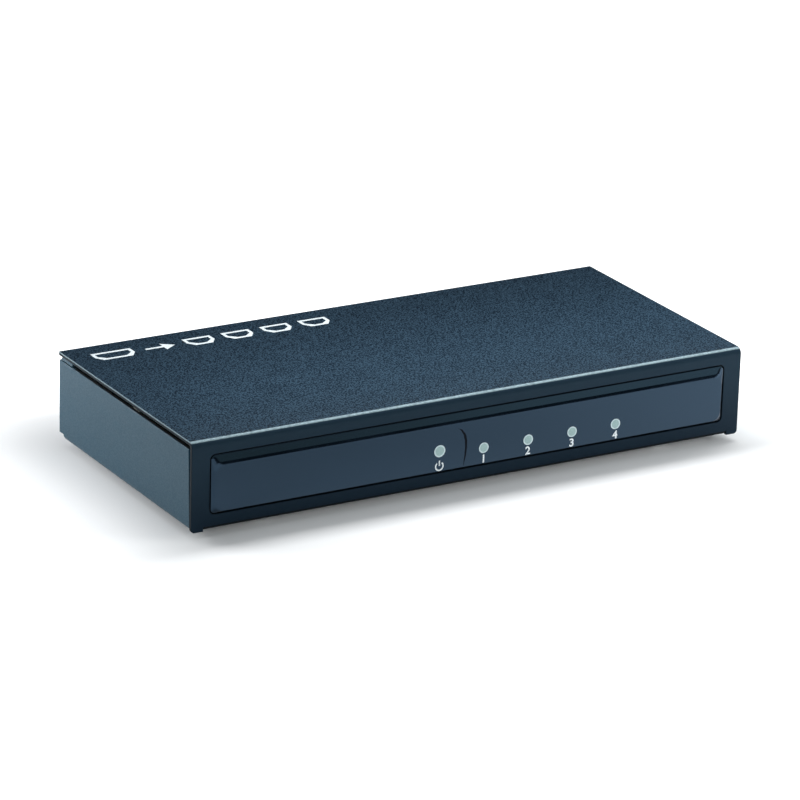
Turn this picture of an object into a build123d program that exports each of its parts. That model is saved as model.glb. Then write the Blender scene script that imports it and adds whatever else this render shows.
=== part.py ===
from build123d import *
import math
import os

# A one-to-four digital video splitter in a case of two folded steel sheets.
# Millimetres, +Z up. The front faces -Y, the rubber feet stand on Z = 0,
# and the origin lies under the middle of the whole box.

os.makedirs("parts", exist_ok=True)

# Driving dimensions of the case
CASE_WIDTH = 170.0
CASE_DEPTH = 78.0
CASE_HEIGHT = 25.0  # without the feet
SHEET = 1.0
BEND_INNER = 0.8  # inner radius of every fold

# Clearances that several fits share
FIT_GAP = 0.05  # round a pressed or seated piece
OVERRUN = 1.0  # how far a cut runs past what it cuts

# The cover: top, front wall and a return flange under the front
COVER_RETURN = 9.0
COVER_NOTCH = 3.5  # cut away at each end of the return flange
COVER_CORNER = 1.0  # front wall's lower corners

# The tray: bottom, side walls, rear wall and its top flange
SIDE_INSET = 0.2  # side wall's outer face behind the cover's cut edge
SIDE_TOP_GAP = 0.4  # between the side wall and the rear flange over it
SIDE_FRONT_GAP = 1.3  # side wall to front wall, at the top
SIDE_FOOT_GAP = 0.5  # and at the bottom, because the edge is cut at a slant
REAR_INSET = 0.8  # rear wall inside the cover's rear edge
REAR_FLANGE = 7.0
REAR_RELIEF = 0.6  # between the rear wall and each side wall
JOGGLE_RUN = 1.3  # length of the step up to the front strip
RETURN_GAP = 0.4  # between the return flange and that step
STRIP_INSET = 0.5  # strip's end inside the return flange's end
STRIP_RELIEF = 1.0  # slit between the strip and the side wall's fold
STRIP_FRONT_GAP = 1.5  # strip's front edge to the front wall

# The domed label and its pressed recess
LABEL_SIDE = 5.65  # label's end to the case's end
LABEL_ABOVE = 4.3
LABEL_BELOW = 4.6
LABEL_CORNER = 1.2
LABEL_MARGIN = 0.35  # of the recess round the label
RECESS_DEPTH = 0.5
ADHESIVE_THICK = 0.15
FILM_THICK = 0.25
DOME_THICK = 0.9
DOME_EDGE = 0.4  # thickness left at the dome's rim
DOME_FALL = 3.5  # width of the curved border

# Rubber feet
FOOT_RADIUS = 5.0
FOOT_HEIGHT = 2.0
FOOT_CHAMFER = 0.5
FOOT_SIDE = 23.0  # foot's centre to the case's side
FOOT_FRONT = 19.0
FOOT_REAR = 14.0

# Screws, nuts, pillars and standoffs, all for an M3 thread
THREAD_RADIUS = 1.5
SCREW_HOLE_RADIUS = 1.65
HEAD_RADIUS = 2.75
HEAD_HEIGHT = 1.6
CASE_SCREW_LENGTH = 5.0
BOARD_SCREW_LENGTH = 5.5
THREAD_SPARE = 0.6  # thread deeper than the screw's tip
NUT_FLATS = 5.5
NUT_HEIGHT = 1.8
PILLAR_FLATS = 5.5
STANDOFF_FLATS = 5.0
STANDOFF_HEIGHT = 4.8
FRONT_SCREW_SIDE = 23.0  # screw's centre to the case's side
REAR_SCREW_SIDE = 5.8
REAR_SCREW_INSET = 14.0

# The circuit board
BOARD_SIDE_GAP = 10.0  # board's end to the case's end
BOARD_FRONT_GAP = 3.0  # board to the label recess's inner face
BOARD_REAR_GAP = 0.5  # board to the rear wall's inner face
BOARD_THICK = 1.6
BOARD_HOLE_SIDE = 5.0  # fixing hole to the board's end
BOARD_HOLE_FRONT = 12.0
BOARD_HOLE_REAR = 20.0

# Indicator lamps behind the label's windows
OUTPUT_COUNT = 4
OUTPUT_LAMP_X = 3.0
LAMP_PITCH = 13.9
POWER_LAMP_X = -10.7
POWER_LAMP_LIFT = 1.3  # higher than the output lamps
LAMP_RADIUS = 1.5
LAMP_LENGTH = 5.3
LAMP_BEVEL = 0.5
LAMP_RISE = 1.95  # axis above the board
LAMP_HOLE_GAP = 0.2
LAMP_TIP_GAP = 0.2  # lamp's tip behind the recess's floor
LEAD_SIZE = 0.5
LEAD_PITCH = 2.54
LEAD_TAIL = 1.5  # below the board
LEAD_HOLE = 0.8
HOLDER_WIDTH = 4.4
HOLDER_DEPTH = 4.0
HOLDER_OVER = 1.8  # above the lamp's axis

# The low-voltage inlet
JACK_WIDTH = 9.0
JACK_DEPTH = 14.2
JACK_AXIS = 6.5  # above the board
JACK_FACE_DEPTH = 3.5
JACK_SHOULDER = 0.35  # body behind the face is this much narrower
JACK_CORNER = 0.6
JACK_BORE_RADIUS = 3.2
JACK_BORE_DEPTH = 10.0
JACK_BORE_CHAMFER = 0.4
JACK_WINDOW_GAP = 0.25
PIN_RADIUS = 1.0
PIN_RECESS = 1.0  # pin's tip behind the face
PIN_BEVEL = 0.4
PIN_ROOT_RADIUS = 1.3  # where the body holds it
PIN_RIVET_RADIUS = 1.7
PIN_RIVET_THICK = 0.5
SPRING_WIDTH = 2.0
SPRING_THICK = 0.3
SPRING_FRONT = 2.6
SPRING_CREST = 5.4
SPRING_DROP = 9.0  # where it turns down to the board
SPRING_BUMP = 0.9
SPRING_SEAT = 0.7  # channel floor below the bore
TAB_THICK = 0.3
TAB_WIDTH = 2.2
PIN_TAB_WIDTH = 4.4  # above the board, round the pin's root
TAB_TAIL = 3.0  # below the board's top
TAB_SLOT_GAP = 0.25
SIDE_TAB_BACK = 11.0

# A nineteen-contact digital video socket
CONNECTOR_PROUD = 0.5  # sockets and inlet outside the rear wall
SHELL_THICK = 0.3
MOUTH_WIDTH = 14.0
MOUTH_HEIGHT = 4.55
MOUTH_FOOT_WIDTH = 10.2
MOUTH_SHOULDER = 2.0
SHELL_STAND = 0.35  # shell above the board
SHELL_DEPTH = 10.4
LIP_PROUD = 0.45
LIP_INSET = 1.0  # lip's end inside the wall that it grows from
SOCKET_WINDOW_GAP = 0.25
LATCH_PLACE = 3.6
LATCH_WIDTH = 2.0
LATCH_SLIT = 0.3
LATCH_ROOT = 6.2
LATCH_CREST = 3.3
LATCH_TIP = 2.1
LATCH_DIP = 0.5
LATCH_TIP_DIP = 0.1
LATCH_OVERLAP = 0.6
LOCK_WIDTH = 1.8
LOCK_FRONT = 4.2
LOCK_REAR = 8.6
LOCK_TAIL = 2.5  # below the board's top
LOCK_ROOT = 1.4  # up the shell's side wall
LOCK_SLOT_GAP = 0.2
TONGUE_WIDTH = 10.6
TONGUE_THICK = 0.9  # without the contacts on it
TONGUE_LEVEL = 2.4  # centre above the mouth's floor
TONGUE_RECESS = 1.2
CAVITY_DEPTH = 8.2
INSULATOR_BACK = 11.0
ROOF_WIDTH = 12.0
CONTACT_PITCH = 1.0
UPPER_CONTACTS = 10
CONTACT_WIDTH = 0.3
CONTACT_THICK = 0.2
CONTACT_FRONT = 1.9
CONTACT_TAIL = 1.4

# Chips and their cooler
CHIP_STAND = 0.1  # body above the board
SPLITTER_SIZE = 20.0
SPLITTER_HEIGHT = 1.5
CONTROLLER_SIZE = 7.0
CONTROLLER_HEIGHT = 1.4
CONTROLLER_LEADS = 6  # on each side
CONTROLLER_PITCH = 1.0
SMALL_CHIP_LENGTH = 4.9
SMALL_CHIP_WIDTH = 3.9
SMALL_CHIP_HEIGHT = 1.5
SMALL_CHIP_LEADS = 4
SMALL_CHIP_PITCH = 1.27
CHIP_LEAD_WIDTH = 0.35
CHIP_LEAD_THICK = 0.15
CHIP_LEAD_SLOPE = 0.5
CHIP_LEAD_REACH = 1.0
CHIP_CHAMFER = 0.3
PAD_THICK = 0.5
SINK_SIZE = 28.0
SINK_HEIGHT = 8.0
SINK_BASE = 2.0
SINK_FINS = 9
SINK_FIN_THICK = 1.1
REGULATOR_LENGTH = 6.5
REGULATOR_WIDTH = 3.5
REGULATOR_HEIGHT = 1.6
REGULATOR_TAB_WIDTH = 3.0
REGULATOR_TAB_REACH = 1.6
REGULATOR_TAB_THICK = 0.3

# Other components on the board
COIL_SIZE = 7.0
COIL_HEIGHT = 4.0
COIL_TERMINAL_WIDTH = 3.0
COIL_TERMINAL_REACH = 0.6
COIL_TERMINAL_THICK = 0.3
CAN_RADIUS = 3.15
CAN_HEIGHT = 6.5
CAN_BASE = 6.6
CAN_BASE_HEIGHT = 1.2
CAN_BASE_CORNER = 1.5
CAN_BEVEL = 0.4
CRYSTAL_LENGTH = 5.0
CRYSTAL_WIDTH = 3.2
CRYSTAL_HEIGHT = 1.1
CHIP_PART_LENGTH = 2.0  # small two-ended components
CHIP_PART_WIDTH = 1.25
CAPACITOR_HEIGHT = 0.9
RESISTOR_HEIGHT = 0.5
PROTECTOR_LENGTH = 3.0
PROTECTOR_WIDTH = 2.0
PROTECTOR_HEIGHT = 0.8
PROTECTOR_BACK = 15.5  # behind the socket's mouth
PROTECTOR_SPREAD = 3.0
FUSE_LENGTH = 4.5
FUSE_WIDTH = 3.2
FUSE_HEIGHT = 0.9

# Places on the board, as shares of half its width and half its depth
JACK_SHARE = 14 / 15
INPUT_SHARE = 9 / 15
SOCKET_STEP_SHARE = 5 / 15
SPLITTER_SHARES = (-0.02, 0.02)
CONTROLLER_SHARES = (0.62, -0.42)
MEMORY_SHARES = (0.4, -0.5)
CONVERTER_SHARES = (0.62, 0.24)
REGULATOR_SHARES = (0.4, 0.1)
COIL_SHARES = (0.78, 0.12)
CAN_SHARES = ((0.86, -0.12), (0.74, -0.34))
CRYSTAL_SHARES = (-0.36, -0.34)
FUSE_SHARES = (0.74, 0.36)
SPLITTER_CAPACITOR_ROW_SHARE = -0.52
CAPACITOR_ROW_COUNT = 8
CAPACITOR_ROW_PITCH = 4.2
TERMINATION_ROW_GAP = 1.1  # between the splitter chip and the row behind it
TERMINATION_COUNT = 4
TERMINATION_PITCH = 2.4

# Faces and levels that the sizes above give
BEND_OUTER = BEND_INNER + SHEET
LABEL_PROUD = ADHESIVE_THICK + FILM_THICK + DOME_THICK - RECESS_DEPTH
HALF_WIDTH = CASE_WIDTH / 2
BASE_Z = FOOT_HEIGHT
TOP_Z = BASE_Z + CASE_HEIGHT
FRONT_Y = -(CASE_DEPTH - LABEL_PROUD) / 2
REAR_Y = FRONT_Y + CASE_DEPTH
FRONT_INNER_Y = FRONT_Y + SHEET
WALL_Y = REAR_Y - REAR_INSET
WALL_INNER_Y = WALL_Y - SHEET
SIDE_X = HALF_WIDTH - SIDE_INSET
SIDE_INNER_X = SIDE_X - SHEET
FLANGE_Z = TOP_Z - SHEET
FLANGE_UNDER_Z = FLANGE_Z - SHEET
SIDE_TOP_Z = FLANGE_UNDER_Z - SIDE_TOP_GAP
FLOOR_Z = BASE_Z + SHEET
RETURN_Y = FRONT_Y + COVER_RETURN
RETURN_HALF = HALF_WIDTH - COVER_NOTCH
STRIP_HALF = RETURN_HALF - STRIP_INSET
STRIP_Z = FLOOR_Z + FIT_GAP
FRONT_SCREW_Y = FRONT_Y + (COVER_RETURN + BEND_OUTER) / 2
FRONT_SCREW_X = HALF_WIDTH - FRONT_SCREW_SIDE
REAR_SCREW_X = HALF_WIDTH - REAR_SCREW_SIDE
REAR_SCREW_Y = REAR_Y - REAR_SCREW_INSET

LABEL_WIDTH = CASE_WIDTH - 2 * LABEL_SIDE
LABEL_HEIGHT = CASE_HEIGHT - LABEL_ABOVE - LABEL_BELOW
LABEL_Z = BASE_Z + LABEL_BELOW + LABEL_HEIGHT / 2
RECESS_Y = FRONT_Y + RECESS_DEPTH
RECESS_INNER_Y = RECESS_Y + SHEET

BOARD_WIDTH = CASE_WIDTH - 2 * BOARD_SIDE_GAP
BOARD_FRONT_Y = RECESS_INNER_Y + BOARD_FRONT_GAP
BOARD_REAR_Y = WALL_INNER_Y - BOARD_REAR_GAP
BOARD_DEPTH = BOARD_REAR_Y - BOARD_FRONT_Y
BOARD_MID_Y = (BOARD_FRONT_Y + BOARD_REAR_Y) / 2
BOARD_Z = FLOOR_Z + STANDOFF_HEIGHT
BOARD_TOP_Z = BOARD_Z + BOARD_THICK

LAMP_TIP_Y = RECESS_Y + LAMP_TIP_GAP
LAMP_BACK_Y = LAMP_TIP_Y + LAMP_LENGTH
HOLDER_BACK_Y = LAMP_BACK_Y + FIT_GAP + HOLDER_DEPTH
LEAD_DROP_Y = HOLDER_BACK_Y + FIT_GAP

CONNECTOR_Y = WALL_Y + CONNECTOR_PROUD
SHELL_FLOOR = SHELL_STAND + SHELL_THICK
SHELL_CEILING = SHELL_FLOOR + MOUTH_HEIGHT
SHELL_TOP = SHELL_CEILING + SHELL_THICK
SHELL_MIDDLE = SHELL_STAND + (SHELL_TOP - SHELL_STAND) / 2
JACK_X = JACK_SHARE * BOARD_WIDTH / 2
SOCKET_STEP = SOCKET_STEP_SHARE * BOARD_WIDTH / 2
SOCKET_X = [
    INPUT_SHARE * BOARD_WIDTH / 2 - place * SOCKET_STEP
    for place in range(OUTPUT_COUNT + 1)
]


# Outlines, blocks and extrusions

def block(x, y, z):
    """Block between a low and a high limit on each axis."""
    size = [high - low for low, high in (x, y, z)]
    middle = [(low + high) / 2 for low, high in (x, y, z)]
    return Pos(*middle) * Box(*size)


def along_x(face, low, high):
    """Outline drawn in Y and Z, extruded between two X values."""
    return extrude(Plane.YZ.offset(low) * face, amount=high - low)


def along_y(face, low, high):
    """Outline drawn in X and Z, extruded between two Y values."""
    return extrude(Plane.XZ.offset(-low) * face, amount=low - high)


def along_z(face, low, high):
    """Outline drawn in X and Y, extruded between two Z values."""
    return extrude(Plane.XY.offset(low) * face, amount=high - low)


def strip_outline(path, thick, bend=None):
    """Outline of a folded strip: path is one skin, the metal lies to its left.

    With a bend radius the folds are round on both skins, otherwise sharp.
    """
    points = [Vector(*point) for point in path]
    ways = [(b - a).normalized() for a, b in zip(points, points[1:])]
    lefts = [Vector(-way.Y, way.X) for way in ways]
    other = [points[0] + lefts[0] * thick]
    skin_radii = []
    other_radii = []
    for corner, before, after in zip(points[1:-1], range(len(ways)), range(1, len(ways))):
        both = lefts[before] + lefts[after]
        other.append(corner + both * (thick / (1 + lefts[before].dot(lefts[after]))))
        left_turn = ways[before].cross(ways[after]).Z > 0
        inner = bend or 0
        outer = inner + thick if bend else 0
        skin_radii.append(outer if left_turn else inner)
        other_radii.append(inner if left_turn else outer)
    other.append(points[-1] + lefts[-1] * thick)
    skin = FilletPolyline(*points, radius=skin_radii)
    back = FilletPolyline(*other, radius=other_radii)
    ends = [Line(points[0], other[0]), Line(points[-1], other[-1])]
    return make_face([skin, back, *ends])


def group(pieces):
    """One node of several separate solids."""
    return Compound([solid for piece in pieces for solid in piece.solids()])


# Threads are plain cylinders at their nominal size

def pan_screw(length):
    """Screw with its seat at Z = 0, its head above and its shank below."""
    return along_z(Circle(HEAD_RADIUS), 0, HEAD_HEIGHT) + along_z(
        Circle(THREAD_RADIUS), -length, 0
    )


def tapped_post(flats, low, high, thread_low, thread_high):
    """Hexagonal post or nut on the Z axis with a threaded hole."""
    outline = RegularPolygon(radius=flats / 2, side_count=6, major_radius=False)
    hole = along_z(Circle(THREAD_RADIUS + FIT_GAP), thread_low, thread_high)
    return along_z(outline, low, high) - hole


CASE_SCREW_PLACES = [
    (side * x, y)
    for x, y in ((FRONT_SCREW_X, FRONT_SCREW_Y), (REAR_SCREW_X, REAR_SCREW_Y))
    for side in (-1, 1)
]
BOARD_SCREW_PLACES = [
    (side * (BOARD_WIDTH / 2 - BOARD_HOLE_SIDE), y)
    for y in (BOARD_FRONT_Y + BOARD_HOLE_FRONT, BOARD_REAR_Y - BOARD_HOLE_REAR)
    for side in (-1, 1)
]
FOOT_PLACES = [
    (side * (HALF_WIDTH - FOOT_SIDE), y)
    for y in (FRONT_Y + FOOT_FRONT, REAR_Y - FOOT_REAR)
    for side in (-1, 1)
]
OUTPUT_LAMPS = [
    (OUTPUT_LAMP_X + place * LAMP_PITCH, BOARD_TOP_Z + LAMP_RISE)
    for place in range(OUTPUT_COUNT)
]
POWER_LAMP = (POWER_LAMP_X, BOARD_TOP_Z + LAMP_RISE + POWER_LAMP_LIFT)


def lamp_holes(low, high):
    """The five round holes in front of the lamps."""
    radius = LAMP_RADIUS + LAMP_HOLE_GAP
    return [
        along_y(Pos(x, z) * Circle(radius), low, high)
        for x, z in [POWER_LAMP, *OUTPUT_LAMPS]
    ]


# The case

def label_outline(grow):
    """Rounded outline of the label, made larger by grow on every side."""
    outline = RectangleRounded(
        LABEL_WIDTH + 2 * grow, LABEL_HEIGHT + 2 * grow, LABEL_CORNER + grow
    )
    return Pos(0, LABEL_Z) * outline


def make_top_cover():
    """Top, front wall and return flange folded from one sheet.

    The return flange stops short of both ends, where the front wall runs
    straight down to a rounded corner. The wall is pressed in round the label,
    so the recess stands out on its inner side by the sheet's own thickness.
    """
    path = [(REAR_Y, TOP_Z), (FRONT_Y, TOP_Z), (FRONT_Y, BASE_Z), (RETURN_Y, BASE_Z)]
    flanged = strip_outline(path, SHEET, BEND_INNER)
    straight = strip_outline(path[:-1], SHEET, BEND_INNER)
    cover = along_x(flanged, -RETURN_HALF, RETURN_HALF)
    for low, high, end in ((-HALF_WIDTH, -RETURN_HALF, 0), (RETURN_HALF, HALF_WIDTH, -1)):
        tip = along_x(straight, low, high)
        corner = tip.edges().filter_by(Axis.Y).group_by(Axis.Z)[0].sort_by(Axis.X)[end]
        cover += fillet(corner, COVER_CORNER)
    cover += along_y(label_outline(LABEL_MARGIN + SHEET), FRONT_INNER_Y, RECESS_INNER_Y)
    cover -= along_y(label_outline(LABEL_MARGIN), FRONT_Y - OVERRUN, RECESS_Y)
    for hole in lamp_holes(FRONT_Y, RECESS_INNER_Y + OVERRUN):
        cover -= hole
    for side in (-1, 1):
        hole = Pos(side * FRONT_SCREW_X, FRONT_SCREW_Y) * Circle(SCREW_HOLE_RADIUS)
        cover -= along_z(hole, BASE_Z - OVERRUN, FLOOR_Z + OVERRUN)
    return cover


def crown(length):
    """Section of the label's dome: flat back and middle, border falling in an arc."""
    end = length / 2
    flat = end - DOME_FALL
    points = [(-end, DOME_EDGE), (-end, 0), (end, 0), (end, DOME_EDGE)]
    right = TangentArc((flat, DOME_THICK), (end, DOME_EDGE), tangent=(1, 0))
    left = TangentArc((-flat, DOME_THICK), (-end, DOME_EDGE), tangent=(-1, 0))
    top = Line((-flat, DOME_THICK), (flat, DOME_THICK))
    return make_face([Polyline(*points), right, left, top])


def make_label():
    """The label's tape, printed film and cast dome, from the recess outwards."""
    film_back_y = RECESS_Y - ADHESIVE_THICK
    dome_back_y = film_back_y - FILM_THICK
    slot_middle = (POWER_LAMP[0] + OUTPUT_LAMPS[-1][0]) / 2
    slot_width = 2 * (LAMP_RADIUS + LAMP_HOLE_GAP)
    slot_length = OUTPUT_LAMPS[-1][0] - POWER_LAMP[0] + slot_width
    slot_height = slot_width + POWER_LAMP_LIFT
    slot_z = OUTPUT_LAMPS[0][1] + POWER_LAMP_LIFT / 2
    slot = Pos(slot_middle, slot_z) * Rectangle(slot_length, slot_height)
    tape = along_y(label_outline(0) - slot, film_back_y, RECESS_Y)
    film = along_y(label_outline(0), dome_back_y, film_back_y)
    across = along_z(
        mirror(crown(LABEL_WIDTH), Plane.XZ), -LABEL_HEIGHT / 2, LABEL_HEIGHT / 2
    )
    upright = along_x(Rot(0, 0, 90) * crown(LABEL_HEIGHT), -LABEL_WIDTH / 2, LABEL_WIDTH / 2)
    slab = along_y(label_outline(0), dome_back_y - DOME_THICK, dome_back_y)
    dome = Pos(0, dome_back_y, LABEL_Z) * (across & upright) & slab
    return {"label_adhesive": tape, "label_film": film, "label_dome": dome}


def mouth_outline(grow):
    """Outline of a video socket's mouth about its place, made larger by grow.

    The two lower corners are cut off at a slant, which keys the plug.
    """
    top = SHELL_CEILING
    floor = SHELL_FLOOR
    half = MOUTH_WIDTH / 2
    foot = MOUTH_FOOT_WIDTH / 2
    shoulder = floor + MOUTH_SHOULDER
    points = [(half, top), (half, shoulder), (foot, floor), (-foot, floor)]
    points += [(-half, shoulder), (-half, top)]
    outline = make_face(Polyline(*points, close=True))
    return offset(outline, amount=grow, kind=Kind.INTERSECTION) if grow else outline


def socket_window():
    """Opening in the rear wall round a video socket's lips."""
    grow = 2 * (SHELL_THICK + LIP_PROUD + SOCKET_WINDOW_GAP)
    outline = Rectangle(MOUTH_WIDTH + grow, MOUTH_HEIGHT + grow)
    return Pos(0, BOARD_TOP_Z + SHELL_MIDDLE) * outline


def jack_window():
    """Opening in the rear wall round the inlet's square face."""
    height = JACK_AXIS + JACK_WIDTH / 2
    outline = Rectangle(JACK_WIDTH + 2 * JACK_WINDOW_GAP, height + 2 * JACK_WINDOW_GAP)
    return Pos(0, BOARD_TOP_Z + height / 2) * outline


def make_base_tray():
    """Bottom and side walls, a stepped front strip and the rear wall, in one sheet."""
    side_front_y = FRONT_INNER_Y + SIDE_FOOT_GAP
    joggle_y = RETURN_Y + RETURN_GAP
    plate_y = joggle_y + JOGGLE_RUN
    fold_y = WALL_Y - BEND_OUTER
    trough_path = [(-SIDE_X, SIDE_TOP_Z), (-SIDE_X, BASE_Z), (SIDE_X, BASE_Z), (SIDE_X, SIDE_TOP_Z)]
    trough = along_y(strip_outline(trough_path, SHEET, BEND_INNER), side_front_y, REAR_Y)

    # The bottom ends at the rear wall's fold and at the front strip's step.
    under = (BASE_Z - OVERRUN, FLOOR_Z + BEND_INNER)
    slit_x = STRIP_HALF + STRIP_RELIEF
    trough -= block((-slit_x, slit_x), (side_front_y - OVERRUN, plate_y), under)
    trough -= block((-SIDE_X - OVERRUN, SIDE_X + OVERRUN), (fold_y, REAR_Y + OVERRUN), under)

    # The side walls' front edges slant away from the front wall.
    slant = make_face(
        Polyline(
            (side_front_y, BASE_Z),
            (side_front_y, TOP_Z),
            (FRONT_INNER_Y + SIDE_FRONT_GAP, TOP_Z),
            close=True,
        )
    )
    trough -= along_x(slant, -HALF_WIDTH, HALF_WIDTH)

    # The strip rides over the cover's return flange.
    strip_path = [
        (FRONT_INNER_Y + STRIP_FRONT_GAP, STRIP_Z),
        (joggle_y, STRIP_Z),
        (plate_y, BASE_Z),
        (plate_y + BEND_OUTER, BASE_Z),
    ]
    strip = along_x(strip_outline(strip_path, SHEET, BEND_INNER), -STRIP_HALF, STRIP_HALF)

    # The rear wall folds up from the bottom and forward under the cover's top.
    rear_path = [
        (fold_y - BEND_OUTER, BASE_Z),
        (WALL_Y, BASE_Z),
        (WALL_Y, FLANGE_Z),
        (WALL_Y - REAR_FLANGE, FLANGE_Z),
    ]
    rear_outline = strip_outline(rear_path, SHEET, BEND_INNER)
    rear_half = SIDE_INNER_X - REAR_RELIEF
    rear = along_x(rear_outline, -rear_half, rear_half)
    wings = along_x(rear_outline, -SIDE_X, SIDE_X)
    wings &= block((-SIDE_X, SIDE_X), (FRONT_Y, REAR_Y), (FLANGE_UNDER_Z, FLANGE_Z))
    tray = trough + strip + rear + wings

    cut_low = WALL_INNER_Y - OVERRUN
    cut_high = WALL_Y + OVERRUN
    for x in SOCKET_X:
        tray -= along_y(Pos(x, 0) * socket_window(), cut_low, cut_high)
    tray -= along_y(Pos(JACK_X, 0) * jack_window(), cut_low, cut_high)
    for x, y in CASE_SCREW_PLACES:
        hole = Pos(x, y) * Circle(SCREW_HOLE_RADIUS)
        tray -= along_z(hole, BASE_Z - OVERRUN, STRIP_Z + SHEET + OVERRUN)
    return tray


def make_rubber_feet():
    """Four stick-on feet, each with a chamfered tread."""
    foot = along_z(Circle(FOOT_RADIUS), 0, FOOT_HEIGHT)
    foot = chamfer(foot.edges().sort_by(Axis.Z)[0], FOOT_CHAMFER)
    return group(Pos(x, y) * foot for x, y in FOOT_PLACES)


def make_fasteners():
    """Case screws, the nuts and pillars that take them, and the board's fixings."""
    screw = Rot(180, 0, 0) * pan_screw(CASE_SCREW_LENGTH)
    screws = [Pos(x, y, BASE_Z) * screw for x, y in CASE_SCREW_PLACES]

    nut_seat = STRIP_Z + SHEET
    nut = tapped_post(NUT_FLATS, nut_seat, nut_seat + NUT_HEIGHT, BASE_Z, TOP_Z)
    nuts = [Pos(side * FRONT_SCREW_X, FRONT_SCREW_Y) * nut for side in (-1, 1)]

    pillar_thread = BASE_Z + CASE_SCREW_LENGTH + THREAD_SPARE
    pillar = tapped_post(PILLAR_FLATS, FLOOR_Z, FLANGE_Z, BASE_Z, pillar_thread)
    pillars = [Pos(side * REAR_SCREW_X, REAR_SCREW_Y) * pillar for side in (-1, 1)]

    standoff = tapped_post(STANDOFF_FLATS, FLOOR_Z, BOARD_Z, BASE_Z, BOARD_TOP_Z)
    standoffs = [Pos(x, y) * standoff for x, y in BOARD_SCREW_PLACES]
    board_screw = pan_screw(BOARD_SCREW_LENGTH)
    board_screws = [Pos(x, y, BOARD_TOP_Z) * board_screw for x, y in BOARD_SCREW_PLACES]
    return {
        "cover_screws": group(screws),
        "weld_nuts": group(nuts),
        "cover_pillars": group(pillars),
        "board_standoffs": group(standoffs),
        "board_screws": group(board_screws),
    }


# The board

def lock_places():
    """Where a socket's four board locks stand, about the socket's place."""
    x = (MOUTH_WIDTH + SHELL_THICK) / 2
    return [(side * x, -back) for side in (-1, 1) for back in (LOCK_FRONT, LOCK_REAR)]


def make_main_board():
    """Board with fixing holes, lamp lead holes and slots for socket and inlet legs."""
    board = along_z(
        Pos(0, BOARD_MID_Y) * Rectangle(BOARD_WIDTH, BOARD_DEPTH), BOARD_Z, BOARD_TOP_Z
    )
    holes = [Pos(x, y) * Circle(SCREW_HOLE_RADIUS) for x, y in BOARD_SCREW_PLACES]
    lead_y = LEAD_DROP_Y + LEAD_SIZE / 2
    for x, z in [POWER_LAMP, *OUTPUT_LAMPS]:
        for side in (-1, 1):
            holes.append(Pos(x + side * LEAD_PITCH / 2, lead_y) * Rectangle(LEAD_HOLE, LEAD_HOLE))
    lock = Rectangle(SHELL_THICK + 2 * LOCK_SLOT_GAP, LOCK_WIDTH + 2 * LOCK_SLOT_GAP)
    for socket_x in SOCKET_X:
        for x, y in lock_places():
            holes.append(Pos(socket_x + x, CONNECTOR_Y + y) * lock)
    tab_long = TAB_WIDTH + 2 * TAB_SLOT_GAP
    tab_short = TAB_THICK + 2 * TAB_SLOT_GAP
    holes.append(Pos(JACK_X, CONNECTOR_Y - JACK_DEPTH - TAB_THICK / 2) * Rectangle(tab_long, tab_short))
    spring_y = CONNECTOR_Y - SPRING_DROP - SPRING_THICK / 2
    holes.append(Pos(JACK_X, spring_y) * Rectangle(tab_long, tab_short))
    side_x = JACK_X - JACK_WIDTH / 2 + JACK_SHOULDER - TAB_THICK / 2
    holes.append(Pos(side_x, CONNECTOR_Y - SIDE_TAB_BACK) * Rectangle(tab_short, tab_long))
    for hole in holes:
        board -= along_z(hole, BOARD_Z - OVERRUN, BOARD_TOP_Z + OVERRUN)
    return board


def on_board(shares):
    """Place on the board's top, from shares of half its width and half its depth."""
    x = shares[0] * BOARD_WIDTH / 2
    y = BOARD_MID_Y + shares[1] * BOARD_DEPTH / 2
    return Pos(x, y, BOARD_TOP_Z)


# Indicator lamps

def make_lamp(x, z):
    """Flat-nosed lamp lying along Y, its bevelled tip towards the front wall."""
    lamp = along_y(Pos(x, z) * Circle(LAMP_RADIUS), LAMP_TIP_Y, LAMP_BACK_Y)
    return chamfer(lamp.edges().group_by(Axis.Y)[0], LAMP_BEVEL)


def lead_outline(z):
    """One lamp lead: back through the holder, then down through the board."""
    under = z - LEAD_SIZE / 2
    path = [(LAMP_BACK_Y, under), (LEAD_DROP_Y, under), (LEAD_DROP_Y, BOARD_Z - LEAD_TAIL)]
    return strip_outline(path, LEAD_SIZE)


def make_lamps():
    """Five lamps with their leads and the blocks that hold them."""
    leads = []
    holders = []
    nodes = {}
    names = ["led_power"] + [f"led_output_{place + 1}" for place in range(OUTPUT_COUNT)]
    for name, (x, z) in zip(names, [POWER_LAMP, *OUTPUT_LAMPS]):
        nodes[name] = make_lamp(x, z)
        holder = block(
            (x - HOLDER_WIDTH / 2, x + HOLDER_WIDTH / 2),
            (LAMP_BACK_Y + FIT_GAP, HOLDER_BACK_Y),
            (BOARD_TOP_Z, z + HOLDER_OVER),
        )
        for side in (-1, 1):
            low = x + side * LEAD_PITCH / 2 - LEAD_SIZE / 2
            leads.append(along_x(lead_outline(z), low, low + LEAD_SIZE))
            holder -= block(
                (low - FIT_GAP, low + LEAD_SIZE + FIT_GAP),
                (LAMP_BACK_Y, HOLDER_BACK_Y + OVERRUN),
                (z - LEAD_SIZE / 2 - FIT_GAP, z + LEAD_SIZE / 2 + FIT_GAP),
            )
        holders.append(holder)
    nodes["led_leads"] = group(leads)
    nodes["led_holders"] = group(holders)
    return nodes


# The low-voltage inlet, drawn about its face with the board's top at Z = 0

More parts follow.
